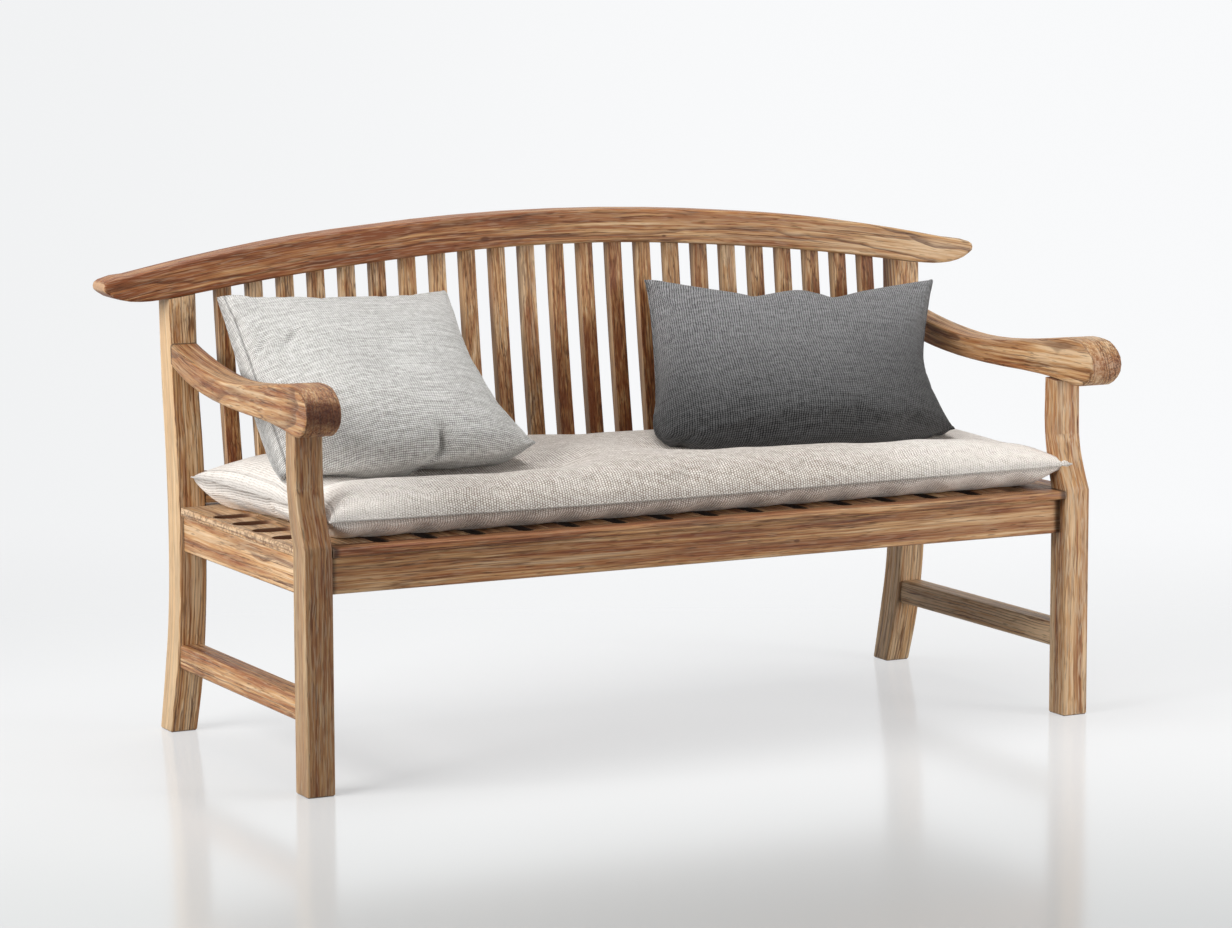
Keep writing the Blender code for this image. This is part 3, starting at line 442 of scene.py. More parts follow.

# %% [markdown]
# ## Oiled hardwood
#
# Sawn wood shows three things at once. Growth rings are cylinders round the heart of the log, so
# a board shows them as lines, or as pointed arches where it was cut near the heart. Broad soft
# streaks change from pale sapwood to red brown. Fine fibres and open pores run along everything.
# All three are worked out in the solid, so a board's ends and edges match its faces. The bench has
# stood outdoors: end grain is darker, and pale flecks follow the fibres. Eased edges are paler,
# part wear and part painted highlight. Faces turned to the left get painted light, and the corners
# beside joints get painted shade.

# %% Wood
PALE = (0.71, 0.5, 0.305, 1.0)
HONEY = (0.535, 0.3, 0.132, 1.0)
BROWN = (0.352, 0.146, 0.053, 1.0)
RED = (0.205, 0.062, 0.021, 1.0)
DARK = (0.08, 0.023, 0.008, 1.0)
SHADOW = (0.026, 0.012, 0.006, 1.0)
GREY_FLECK = (0.56, 0.41, 0.275, 1.0)
# Paler colour on eased edges: part wear, part painted highlight
WEAR_AND_HIGHLIGHT = (0.7, 0.52, 0.35, 1.0)
# The colour of the painted light on faces turned to the left
PAINTED_LEFT_LIGHT = (0.74, 0.54, 0.32, 1.0)
# Painted shade on the walls of the end boards' slots, a darker flat brown
END_WALL_SHADE = (0.4, 0.235, 0.13, 1.0)
TONE_STOPS = ((0.02, PALE), (0.36, HONEY), (0.72, BROWN), (1.0, RED))
WOOD_ROUGHNESS = 0.46
WOOD_GLOSS = 0.26
SMOOTHEST = 0.4
END_TINT = (0.36, 0.27, 0.26)
PALE_END_TINT = (0.74, 0.64, 0.64)
PALE_ENDS = ("arm_right", "crest_rail")
# How much painted light the faces turned to the left get, on some pieces and on the slats
LEFT_FACE_PAINTED_LIGHT = {"rear_leg_left": 0.55, "front_leg_left": 0.22, "crest_rail": 0.75}
SLAT_LEFT_PAINTED_LIGHT = 0.28
# Layers of noise: cells a metre along and across the grain, detail, roughness, the values that
# the layer appears between, and its own shift
LAYERS = {
    "wander": (1.5, 7.0, 2.0), "ripple": (11.0, 38.0, 1.0), "band": (2.4, 6.0, 1.0),
    "streak": (1.1, 60.0, 3.0, 0.6, (0.3, 0.7)), "cloud": (2.6, 9.0, 2.0, 0.5, (0.25, 0.75)),
    "ribbon": (1.5, 38.0, 3.0, 0.65, (0.5, 0.66)), "fibre": (9.0, 420.0, 3.0, 0.7),
    "fine": (5.5, 190.0, 2.0, 0.6), "hair": (2.2, 92.0, 2.0, 0.55),
    "patch": (3.5, 26.0, 1.0, 0.5, (0.4, 0.58), 3.0),
    "dashes": (30.0, 430.0, 1.0, 0.5, (0.6, 0.72)),
    "flecks": (24.0, 400.0, 1.0, 0.5, (0.5, 0.66), 7.0)}
# How much of each layer shows
STREAKS, CLOUDS, FIBRES, FINES = 0.5, 0.3, 0.8, 1.7
RIBBONS, HAIRS, DASHES, KNOT_DARK, EDGE_WEAR_AND_HIGHLIGHT = 0.46, 0.72, 0.45, 0.8, 0.42
HAIR_WIDTH = 0.045
# Shares of a growth ring's width where its dark late wood sets in, and where it ends
LATE_FROM = (0.4, 0.9)
LATE_TO = (0.92, 1.0)
RIPPLE = 0.0042
# How far the grain wavers, in metres, and how many times a metre
WAVER = {"front_leg_left": 0.0045, "front_leg_right": 0.0055, "rear_leg_left": 0.003,
         "rear_leg_right": 0.003, "crest_rail": 0.003}
PLAIN_WAVER = 0.0018
WAVER_ALONG = 17.0
WAVER_ACROSS = 22.0
# Knots: along the grain, up, and radius
KNOTS = {"crest_rail": ((-0.162, 0.899, 0.006), (0.221, 0.892, 0.003)),
         "front_rail": ((0.177, 0.375, 0.004),)}
KNOT_LENGTH_SHARE = 0.45
KNOT_CORE_SHARE = 0.4
# Boards that have gone dull and dark with handling
DULL = {"front_leg_left": 0.63, "arm_left": 0.84}
# Red bands: height in the plank, half width and strength
BANDS = {"front_rail": (0.374, 0.014, 0.62), "crest_rail": (0.925, 0.01, 0.4)}
BAND_WAVER = 0.03
SEAT_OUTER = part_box("seat_end_board_right")[1].x
SEAT_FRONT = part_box("seat_nosing")[0].y
WALL_SKIP = 0.004
# Where a rail's shoulders are, and which way the rail lies from there, for the painted shade
# in the corner beside each
TENON = 0.022
LEG_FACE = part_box("seat_nosing")[1].x
BETWEEN_LEGS = ((-LEG_FACE, 1), (LEG_FACE, -1))


def shoulders(board):
    """Both shoulders of a board that runs from front to back."""
    low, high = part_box(board)
    return ((low.y + TENON, 1), (high.y - TENON, -1))


SHOULDERS = {"front_rail": BETWEEN_LEGS, "seat_nosing": BETWEEN_LEGS,
             "side_rail": shoulders("side_rail_left"), "arm": shoulders("arm_left")[1:],
             "stretcher": shoulders("stretcher_left")}
# How far from a shoulder its painted shade fades out, along X and along Y, and how much it darkens
SHOULDER_BAND = ((0.006, 0.017), (0.001, 0.008))
SHOULDER_SHADE = 0.75
# How far a face has turned: to the left, to the board's end, and round an eased edge
FACES_LEFT, FACES_END, ON_EDGE = (0.5, 0.9), (0.55, 0.95), (0.01, 0.16)
EASED_EDGE = 0.005
# The stained outer rim of the seat's end boards
RIM_FROM, RIM_TO, RIM_SCALE, RIM_DARK = 0.011, 0.004, 130.0, 0.55
WOOD_RELIEF = 0.0012


def slot_walls(where, normal):
    """1 on the walls of the seat's slots and gaps, 0 on its top and its outer edges."""
    x, y, _ = where.parts()
    wall = 1 - abs(normal.parts()[2]).over(0.4, 0.8)
    within = (abs(x) < SEAT_OUTER - WALL_SKIP) * (1 - (y < SEAT_FRONT + WALL_SKIP))
    return wall * within


def knot(along, across, spot):
    """1 in the middle of a knot, fading out over its rim."""
    long = (along - spot[0]) * KNOT_LENGTH_SHARE
    wide = across - spot[1]
    return 1 - ((long * long + wide * wide) ** 0.5).over(spot[2] * KNOT_CORE_SHARE, spot[2])


def grain_layer(spot, along, across, detail, roughness=0.5, fade=None, shift=0.0):
    """One layer of noise, stretched along the grain."""
    cloudy = (spot * (along, across, across) + shift).noise(detail, roughness)
    return cloudy.over(*fade) if fade else cloudy


def wood(name, lines, axis, seed, heart, bend, ring, tone, lean, flecks, dark):
    """One board's finish, from the way its grain runs and where the heart of its log lay."""
    made, shader, where = new_material(name, WOOD_ROUGHNESS, WOOD_GLOSS)
    dice = random.Random(seed)
    along, side, level = lines(where)
    start = dice.uniform(0, 40)
    waver = WAVER.get(name, PLAIN_WAVER)
    flow = along.with_parts(along * WAVER_ALONG + start, side * WAVER_ACROSS, level * WAVER_ACROSS)
    side = side + (flow.noise(1.0) - 0.5) * waver
    rise = level + ((flow + 5.0).noise(1.0) - 0.5) * waver
    spot = along.with_parts(along + start, side + dice.uniform(0, 9), rise + dice.uniform(0, 9))
    grain = {layer: grain_layer(spot, *how) for layer, how in LAYERS.items()}
    streak, fibre, fine, dashes = (grain[layer] for layer in ("streak", "fibre", "fine", "dashes"))

    off_side = side - heart[0]
    off_rise = rise - heart[1]
    round_log = (off_side * off_side + off_rise * off_rise) ** 0.5
    wander = (grain["wander"] - 0.5) * bend
    rings = (round_log + wander + (grain["ripple"] - 0.5) * RIPPLE) / ring
    turn = rings.unary("FRACT")
    late = turn.over(*LATE_FROM) * (1 - turn.over(*LATE_TO))
    which = rings.unary("FLOOR")
    uneven = which.with_parts(which * 0.73, along * 1.6 + start, 0.0).noise(1.0).over(0.34, 0.64)
    ring_line = late * uneven
    hair = 1 - abs(grain["hair"] - 0.5).over(0.0, HAIR_WIDTH)
    hair = hair * grain["patch"]

    x, _, z = where.parts()
    depth = streak * STREAKS + grain["cloud"] * CLOUDS + tone + x * lean[0] + z * lean[1]
    depth = depth + (0.5 - fibre) * FIBRES + (0.5 - fine) * FINES
    colour = depth.node("ShaderNodeValToRGB", None, {0: depth})
    set_stops(colour.socket.node.color_ramp, TONE_STOPS)
    colour = (grain["ribbon"] * RIBBONS).mix(colour, RED)
    if name in BANDS:
        height, half, strength = BANDS[name]
        off_band = level + (grain["band"] - 0.5) * BAND_WAVER - height
        band = 1 - abs(off_band).over(half * 0.2, half)
        colour = (band * strength * (0.35 + streak * 0.65)).mix(colour, RED)
    colour = (ring_line * dark).mix(colour, DARK)
    colour = (hair * HAIRS).mix(colour, DARK)
    colour = (grain["flecks"] * flecks).mix(colour, GREY_FLECK)
    colour = colour * (1 - dashes * DASHES) * DULL.get(name, 1.0)
    for place in KNOTS.get(name, ()):
        colour = (knot(along, rise, place) * KNOT_DARK).mix(colour, DARK)

    normal = along.node("ShaderNodeNewGeometry", None, None, output="Normal")
    # Painted light: faces turned to the left are made paler
    left_light = SLAT_LEFT_PAINTED_LIGHT if name.startswith("back_slat") else LEFT_FACE_PAINTED_LIGHT.get(name, 0.0)
    colour = ((0.0 - normal.parts()[0]).over(*FACES_LEFT) * left_light).mix(colour, PAINTED_LEFT_LIGHT)
    rough = SMOOTHEST + fibre * 0.18 + dashes * 0.1 - late * 0.04
    # Painted shade in the seat's gaps and notches: their walls near black, those of the end boards'
    # slots a darker flat brown
    if name.startswith("seat_") and name != "seat_middle_rail":
        walls = slot_walls(where, normal)
        colour = walls.mix(colour, END_WALL_SHADE if "_end_board" in name else SHADOW)
        rough = rough + walls * 0.4
    if name.startswith("seat_end_board"):
        at_rim = abs(x).over(SEAT_OUTER - RIM_FROM, SEAT_OUTER - RIM_TO)
        stain = (where * RIM_SCALE).noise(3.0, 0.7).over(0.46, 0.56)
        colour = (at_rim * stain * RIM_DARK).mix(colour, DARK)
    # Painted shade in the corner beside each of a rail's shoulders
    for shoulder, way in SHOULDERS.get(name.rsplit("_", 1)[0], SHOULDERS.get(name, ())):
        near = ((along - shoulder) * way).over(*SHOULDER_BAND[axis])
        colour = colour * (1 - SHOULDER_SHADE + near * SHOULDER_SHADE)
    facing = abs(normal.parts()[axis]).over(*FACES_END)
    colour = facing.mix(colour, colour * (PALE_END_TINT if name in PALE_ENDS else END_TINT))
    # Eased edges are made paler: part wear, part painted highlight
    eased = along.node("ShaderNodeBevel", {"samples": 4}, {"Radius": EASED_EDGE})
    alike = eased.node("ShaderNodeVectorMath", {"operation": "DOT_PRODUCT"},
                       {0: eased, 1: normal}, output="Value")
    edge = (1 - alike).over(*ON_EDGE) * (0.25 + fibre * 0.6)
    colour = (edge * EDGE_WEAR_AND_HIGHLIGHT).mix(colour, WEAR_AND_HIGHLIGHT)

    height = fibre * 0.5 + fine * 0.5 - dashes * 0.6 - ring_line * 0.5 - hair * 0.4
    bump = height.node("ShaderNodeBump", None,
                       {"Strength": 0.6, "Distance": WOOD_RELIEF, "Height": height})
    feed(shader, Base_Color=colour, Roughness=rough, Normal=bump)
    return made


# How red a piece's wood is, how that changes a metre along X and a metre up, and its pale flecks
TONES = {
    "crest_rail": (0.26, (-0.39, 0.0), 0.26), "front_rail": (0.15, (0.13, 0.0), 0.2),
    "front_leg_left": (0.05, (0.0, 0.35), 0.5), "front_leg_right": (-0.34, (0.0, 0.66), 0.75),
    "rear_leg_left": (-0.16, (0.0, 0.22), 0.3), "rear_leg_right": (-0.38, (0.0, 0.45), 0.4),
    "arm_left": (0.14, (0.0, 0.0), 0.28), "arm_right": (1.92, (0.0, -2.9), 0.2),
    "side_rail_left": (-0.24, (0.0, 0.0), 0.25), "stretcher_left": (0.18, (0.0, 0.0), 0.3),
    "stretcher_right": (-0.44, (0.0, 0.0), 0.45), "seat_nosing": (0.32, (-0.22, 0.0), 0.15),
    "seat_end_board_left": (-0.28, (0.0, 0.0), 0.55),
    # Slats 13 to 15 carry the right pillow's shadow, painted: darker, and more so towards their feet
    "back_slat_13": (0.98, (0.0, -0.9), 0.05), "back_slat_14": (1.12, (0.0, -1.1), 0.05),
    "back_slat_15": (1.05, (0.0, -1.00), 0.05)}
RING_DARKNESS = {"front_leg_left": 0.6, "front_leg_right": 0.45, "front_rail": 0.55}
# The slats darken a little to the right, and get painted shade towards their feet
SLAT_LEAN_AND_FOOT_SHADE = (0.15, -0.85)
SLAT_TONE = 0.74
SLAT_FLECKS = 0.08
PLAIN_FLECKS = 0.25
# Where the heart of the arms' log lay, and how much the rings wander
ARM_HEART = (0.15, 0.02)
BOARD_BEND = 0.034
SLAT_BEND = 0.01
# How each kind of piece was sawn: its grain's curve, and the axis the grain runs along
RUNS = (
    ("crest_rail", along_crest, 0), ("arm_", along_arm, 1), ("rear_leg", along_rear_leg, 2),
    ("front_leg", along_front_leg, 2), ("back_slat", straight(2), 2),
    (("side_rail", "stretcher", "seat_slat", "seat_end_board"), straight(1), 1),
    ("", straight(0), 0))


def dress_wood():
    """Give every wooden piece the finish of its own board."""
    for number, name in enumerate(sorted(WOOD_NODES)):
        lines, axis = next((run, way) for start, run, way in RUNS if name.startswith(start))
        low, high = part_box(name)
        middle = (low + high) / 2
        dice = random.Random(number * 7 + 3)
        heart = (dice.uniform(-0.12, 0.12), dice.choice((-1, 1)) * dice.uniform(0.03, 0.1))
        bend = BOARD_BEND
        if name.startswith("arm_"):
            heart = ARM_HEART
        plain = (dice.uniform(0.0, 0.2), (0.0, 0.0), PLAIN_FLECKS)
        if name.startswith("back_slat"):
            plain = (SLAT_TONE + dice.uniform(-0.18, 0.12), SLAT_LEAN_AND_FOOT_SHADE, SLAT_FLECKS)
            heart = (dice.choice((-1, 1)) * dice.uniform(0.07, 0.14), dice.uniform(-0.04, 0.04))
            bend = SLAT_BEND
        across = [middle[i] for i in range(3) if i != axis]
        heart = [away + place for away, place in zip(heart, across)]
        tone, lean, flecks = TONES.get(name, plain)
        ring = dice.uniform(0.0045, 0.0065)
        dark = dice.uniform(0.6, 0.85) * RING_DARKNESS.get(name, 1.0)
        made = wood(name, lines, axis, number, heart, bend, ring, tone, lean, flecks, dark)
        for slot in NODES[name].material_slots:
            slot.material = made


dress_wood()
print("wooden finishes:", len(WOOD_NODES))

# %% [markdown]
# ## Woven cloth
#
# All three covers are woven of thick, uneven yarn. What shows of such a weave is rows of small
# beads, one wherever a thread comes up over another, so the pattern is worked out from how far
# along the cloth a place lies. Each cushion's mesh carries that place with it, so the pattern
# bends with every fold. The pad is oatmeal linen with its rows set off like bricks, and painted
# light makes its ends paler. The left pillow is a ribbed off-white with a stitched hem, and the
# right one a dark basket weave. Both pillows get painted shade towards their feet, the dark one
# most, as the photograph shows it much paler at its top than at its foot.

# %% Weave
CLOTH_ROUGHNESS = 0.92
CLOTH_GLOSS = 0.12
CLOTH_SHEEN = 0.25
# How much the threads stray, in yarns, and how many times a metre
STRAY = 1.1
STRAY_SCALE = 60.0
BEAD_ASPECT = 1.12
LUMPS = 0.15
FUZZ_SCALE = 1900.0
RELIEF = 0.0016
# Heights over which a cover's painted shade gives way towards its top, and the pad's
# stretches, left and right, where painted light makes its ends paler
FOOT_SHADE_FROM = (0.54, 0.84)
PAINTED_LIGHT_LEFT = (-0.7, -0.42)
PAINTED_LIGHT_RIGHT = (0.2, 0.72)
# Painted shade along the seam's dark line, and in the hem's stitched groove beside it
SEAM_LINE = (0.0004, 0.0045)
SEAM_SHADE = 0.22
HEM_WIDTH = 0.0105
HEM_LINE = (0.0006, 0.0026)
HEM_SHADE = 0.45


def weave(name, yarn, light, shade, step, cuts, slub, fade, hemmed, painted_light_ends=0.0):
    """Cloth of thick yarn in ribs of beads, yarn metres apart.

    step sets each rib's beads off from the next rib's, cuts is how deep it is cut between ribs
    and between beads, and slub is how uneven its threads are. fade is painted shade: how much
    darker the cloth is towards its foot. hemmed is how clear its hem is, and the last argument how
    much painted light makes the cloth's ends paler.
    """
    made, shader, where = new_material(name, CLOTH_ROUGHNESS, CLOTH_GLOSS)
    shader.inputs["Sheen Weight"].default_value = CLOTH_SHEEN
    cloth, edge, hem = (
        where.node("ShaderNodeAttribute", {"attribute_name": kind}, None, output=output)
        for kind, output in (("cloth", "Vector"), ("seam", "Fac"), ("hem", "Fac")))
    drift = (cloth * STRAY_SCALE).noise(2.0) - 0.5
    sway = (cloth * STRAY_SCALE + 5.0).noise(2.0) - 0.5
    warp, weft, _ = (cloth * (1 / yarn)).parts()
    warp = warp + drift * STRAY
    rib = warp.unary("FLOOR")
    weft = weft * BEAD_ASPECT + sway * STRAY + rib * step
    pick = weft.unary("FLOOR")
    off_rib = warp.unary("FRACT") * 2.0 - 1.0
    off_bead = weft.unary("FRACT") * 2.0 - 1.0
    height = (1 - off_rib * off_rib * cuts[0]) * (1 - off_bead * off_bead * cuts[1])

    bead = warp.with_parts(rib * 0.37, pick * 0.37, 3.0).noise(1.0)
    along_pick = warp.with_parts(pick * 0.83, warp * 0.05, 9.0).noise(2.0).over(0.3, 0.72)
    lumps = (cloth * (0.45 / yarn, 0.6 / yarn, 1.0)).noise(1.0).over(0.3, 0.7)
    fuzz = (cloth * FUZZ_SCALE).noise(1.0)
    clouds = (where * 7.0).noise(2.0)
    value = height * 0.8 + (along_pick - 0.5) * slub + (lumps - 0.5) * LUMPS + (bead - 0.5) * 0.4
    value = value + (fuzz - 0.5) * 0.25 + (clouds - 0.5) * 0.2
    x, _, z = where.parts()
    # Painted light: the pad's ends are made paler
    value = value + (1 - x.over(*PAINTED_LIGHT_LEFT) + x.over(*PAINTED_LIGHT_RIGHT)) * painted_light_ends
    colour = value.over(-0.05, 0.85).mix(shade, light)
    colour = colour * (1 - SEAM_SHADE + edge.over(*SEAM_LINE) * SEAM_SHADE)
    groove = (1 - abs(hem - HEM_WIDTH).over(*HEM_LINE)) * hemmed
    colour = colour * (1 - groove * HEM_SHADE)
    # Painted shade: the cover is darker towards its foot, by fade
    colour = colour * (1 - fade + z.over(*FOOT_SHADE_FROM) * fade)
    relief = (height - groove) * 0.8 + lumps * LUMPS + along_pick * slub * 0.5 + fuzz * 0.2
    bump = relief.node("ShaderNodeBump", None,
                       {"Strength": 0.9, "Distance": RELIEF, "Height": relief})
    feed(shader, Base_Color=colour, Normal=bump)
    return made


OATMEAL = weave("oatmeal_linen", 0.005, (0.93, 0.88, 0.825, 1.0), (0.31, 0.245, 0.195, 1.0),
                step=0.5, cuts=(1.0, 0.85), slub=0.12, fade=0.0, hemmed=0.5, painted_light_ends=0.4)
OFF_WHITE = weave("off_white_linen", 0.0043, (0.78, 0.772, 0.752, 1.0), (0.25, 0.24, 0.222, 1.0),
                  step=0.0, cuts=(0.65, 0.95), slub=0.22, fade=0.04, hemmed=1.0)
# The dark cover's strong fade is painted shade towards its foot
CHARCOAL = weave("charcoal_basket", 0.0047, (0.36, 0.36, 0.368, 1.0), (0.006, 0.006, 0.007, 1.0),
                 step=0.0, cuts=(1.0, 0.65), slub=0.15, fade=0.76, hemmed=0.0)
print("weaves:", OATMEAL.name, OFF_WHITE.name, CHARCOAL.name)

# %% [markdown]
# ## Sewing two panels together
#
# Every cushion here is two panels of cloth, sewn round their edges and turned inside out. A
# builder takes one rule for where a place on a panel lies, makes a fine net of quads for the front
# and one for the back, and joins them with a narrow lip, which is the seam.

# %% Cushion builder
SEAM_LIP = 0.0032
SEAM_HALF = 0.0011
EDGE_CROWDING = 1.15
AT_EDGE = 0.9999
SIM_FIRST = 1
SIM_LAST = 20
SIM_QUALITY = 5
COVER_MASS = 0.25
COVER_STIFFNESS = 0.3


def even_places(count):
    """Places from -1 to 1, a little closer together towards the ends."""
    spread = np.sin(np.linspace(-EDGE_CROWDING, EDGE_CROWDING, count + 1))
    return spread / spread[-1]


def rim(grid):
    """The outer ring of a net of numbers, in order round it."""
    return np.concatenate([grid[:-1, 0], grid[-1, :-1], grid[:0:-1, -1], grid[0, :0:-1]])


def along_cloth(net):
    """How far each point of a net lies from its middle lines, measured along the cloth."""
    spans = []
    for axis in (0, 1):
        steps = np.linalg.norm(np.diff(net, axis=axis), axis=2)
        steps = np.insert(steps, 0, 0.0, axis=axis)
        far = np.cumsum(steps, axis=axis)
        spans.append(far - np.take(far, [far.shape[axis] // 2], axis=axis))
    return np.stack([spans[0], spans[1], np.zeros_like(spans[0])], axis=-1).reshape(-1, 3)


def outward(u, v, sideways, upward):
    """Which way a lip points: square off each side, and diagonally at a corner."""
    out = (np.sign(u) * (np.abs(u) > AT_EDGE))[..., None] * sideways + (
        np.sign(v) * (np.abs(v) > AT_EDGE))[..., None] * upward
    return out / np.linalg.norm(out, axis=-1, keepdims=True)


def sewn_mesh(name, counts, flat, surface, sideways, upward, limit):
    """Two nets joined by a lip. surface(u, v, side) gives an array of places."""
    across, up = np.meshgrid(even_places(counts[0]), even_places(counts[1]), indexing="ij")
    fronts = surface(across, up, 1.0)
    backs = surface(across, up, -1.0)
    size = across.size
    index = np.arange(size).reshape(across.shape)
    ring = rim(index)
    front, back = fronts.reshape(-1, 3), backs.reshape(-1, 3)
    middle = (front[ring] + back[ring]) / 2
    apart = front[ring] - back[ring]
    apart /= np.linalg.norm(apart, axis=1, keepdims=True)
    out = outward(rim(across), rim(up), sideways, upward)
    lip_front = middle + out * SEAM_LIP + apart * SEAM_HALF
    lip_back = middle + out * SEAM_LIP - apart * SEAM_HALF
    points = np.concatenate([front, back, lip_front, lip_back])
    quads = np.stack([index[:-1, :-1], index[1:, :-1], index[1:, 1:], index[:-1, 1:]], -1)
    quads = quads.reshape(-1, 4)
    faces = [quads, quads[:, ::-1] + size]
    turns = len(ring)
    rows = (ring, np.arange(turns) + 2 * size, np.arange(turns) + 2 * size + turns, ring + size)
    for first, second in zip(rows, rows[1:]):
        faces.append(np.stack([np.roll(first, -1), first, second, np.roll(second, -1)], -1))
    mesh = bpy.data.meshes.new(name)
    mesh.from_pydata(limit(points).tolist(), [], np.concatenate(faces).tolist())
    cloths = [along_cloth(fronts), along_cloth(backs)]
    hems = [cloth[ring] * (1 + SEAM_LIP / np.linalg.norm(cloth[ring], axis=1, keepdims=True))
            for cloth in cloths]
    hold = mesh.attributes.new("cloth", "FLOAT_VECTOR", "POINT")
    hold.data.foreach_set("vector", np.concatenate(cloths + hems).ravel())
    edge = np.minimum((1 - abs(across)) * flat[0] / 2, (1 - abs(up)) * flat[1] / 2).ravel()
    left = ((1 + across) * flat[0] / 2).ravel()
    rest = np.zeros(2 * turns)
    for attribute, inside in (("seam", edge), ("hem", left)):
        near = mesh.attributes.new(attribute, "FLOAT", "POINT")
        near.data.foreach_set("value", np.concatenate([inside, inside, rest]))
    mesh.shade_smooth()
    return mesh


def spots_of(mesh):
    """A mesh's points as an array."""
    flat = np.empty(len(mesh.vertices) * 3)
    mesh.vertices.foreach_get("co", flat)
    return flat.reshape(-1, 3)


def plump(piece, limit, pressure, grow, cap):
    """Let the cover grow by a share and blow it up, but move no point further than cap."""
    before = spots_of(piece.data)
    cover = piece.modifiers.new("cloth", "CLOTH")
    cloth = cover.settings
    cloth.quality = SIM_QUALITY
    cloth.mass = COVER_MASS
    cloth.use_pressure = True
    cloth.uniform_pressure_force = pressure
    cloth.shrink_min = -grow
    cloth.effector_weights.gravity = 0.0
    cloth.bending_stiffness = COVER_STIFFNESS
    cover.collision_settings.use_collision = False
    cover.point_cache.frame_start = SIM_FIRST
    cover.point_cache.frame_end = SIM_LAST
    for step in range(SIM_FIRST, SIM_LAST + 1):
        SCENE.frame_set(step)
    shown = piece.evaluated_get(bpy.context.evaluated_depsgraph_get())
    moved = spots_of(shown.data) - before
    piece.modifiers.remove(cover)
    SCENE.frame_set(SIM_FIRST)
    far = np.linalg.norm(moved, axis=1, keepdims=True)
    moved *= np.minimum(1.0, cap / np.maximum(far, 1e-9))
    piece.data.vertices.foreach_set("co", limit(before + moved).ravel())
    piece.data.update()
    print(piece.name, "moved up to", round(float(far.max()) * 1000, 1), "mm, kept under", cap * 1000)


def sewn_piece(mesh, finish, node, slot, limit, fill, pressure, grow, cap):
    """Put a sewn mesh in place of its plain solid."""
    piece = add_object(mesh.name, mesh)
    mesh.materials.append(finish)
    plump(piece, limit, pressure, grow, cap)
    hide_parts(node)
    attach(piece, "root")
    return piece


print("seam lip:", SEAM_LIP * 1000, "mm")

# %% [markdown]
# ## Where the pillows stand
#
# The pad is soft, so the pillows' feet sink into it. Both pillows' corners are set first, and
# the pad's top then dips along the line of each foot.

# %% Pillow corners and the pad's top
PAD_LOW, PAD_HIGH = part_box("seat_pad")
SLAT_LOW, SLAT_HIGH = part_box("back_slat_12")
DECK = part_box("seat_nosing")[1].z
SLAT_DEPTH = 0.02
# Corners in the order left top, right top, right foot, left foot
LEFT_CORNERS = ((-0.712, 0.292, 0.811), (-0.246, 0.29, 0.794), (-0.258, -0.105, 0.558),
                (-0.742, -0.07, 0.522))
RIGHT_CORNERS = ((0.169, 0.292, 0.801), (0.779, 0.213, 0.777), (0.642, -0.088, 0.521),
                 (0.029, -0.012, 0.518))
# The pad's ears: left front, right front, right rear, left rear
PAD_EARS = ((-0.738, -0.296, 0.473), (0.762, -0.3025, 0.478), (0.762, 0.255, 0.48),
            (-0.776, 0.256, 0.484))
PAD_SEAM_SAG = 0.006
PAD_SIDE_IN = 0.014
PAD_FRONT_IN = 0.01
# How far inside its left, right, front and rear edges it is full, below and above its seam
PAD_ROLLS = (0.06, 0.06, 0.12, 0.05)
PAD_CROWNS = (0.085, 0.22, 0.13, 0.19)
# Where the pad starts to thin towards the right, over what length, and by how much
PAD_THIN_FROM = -0.1
PAD_THIN_OVER = 0.5
PAD_RIGHT_DROP = 0.007
# A pillow's foot presses the pad in: how deep, how far round it and how far before it
DENT_DEPTH = 0.03
DENT_REACH = 0.1
DENT_AHEAD = 0.04
CLEAR = 0.0009


def corner_blend(corners, u, v):
    """Straight reading between four corners, as an array of places."""
    p = np.array(corners)
    right = ((1 + u) / 2)[..., None]
    top = ((1 + v) / 2)[..., None]
    foot = p[3] * (1 - right) + p[2] * right
    return foot * (1 - top) + (p[0] * (1 - right) + p[1] * right) * top


def dent(x, y):
    """How far the pillows' feet press the pad in."""
    deepest = np.zeros_like(x)
    for corners in (LEFT_CORNERS, RIGHT_CORNERS):
        right, left = np.array(corners[2]), np.array(corners[3])
        along = np.clip((x - left[0]) / (right[0] - left[0]), 0, 1)
        line_y = left[1] + along * (right - left)[1] - DENT_AHEAD
        away = np.hypot(x - left[0] - along * (right - left)[0], y - line_y)
        deepest = np.maximum(deepest, DENT_DEPTH * np.exp(-2 * (away / DENT_REACH) ** 2))
    return deepest


def pad_height(x):
    """The pad is thinner towards its right end."""
    t = np.clip((x - PAD_THIN_FROM) / PAD_THIN_OVER, 0, 1)
    return PAD_HIGH.z - PAD_RIGHT_DROP * t * t * (3 - 2 * t)


def slat_face(z):
    """Y of the back slats' front faces at a height."""
    lean = (SLAT_HIGH.y - SLAT_DEPTH - SLAT_LOW.y) / (SLAT_HIGH.z - SLAT_LOW.z)
    return SLAT_LOW.y + (z - SLAT_LOW.z) * lean


print("deck at", round(DECK, 4), "slats lean from", round(float(slat_face(0.5)), 3))

# %% [markdown]
# ## The seat pad
#
# A long flat pad, stuffed until its top crowns. Its seam runs round it a little above the deck,
# with four small ears. The slack cover rolls under at the front, and dimples where the filling has
# shifted.

# %% Seat pad
PAD_COUNTS = (230, 84)
PAD_FLAT = (1.6, 0.6)
# Stuffing: how full, its pressure, how far the cover grows and the most that it may move
PAD_STUFFING = (0.6, 2.0, 0.02, 0.005)
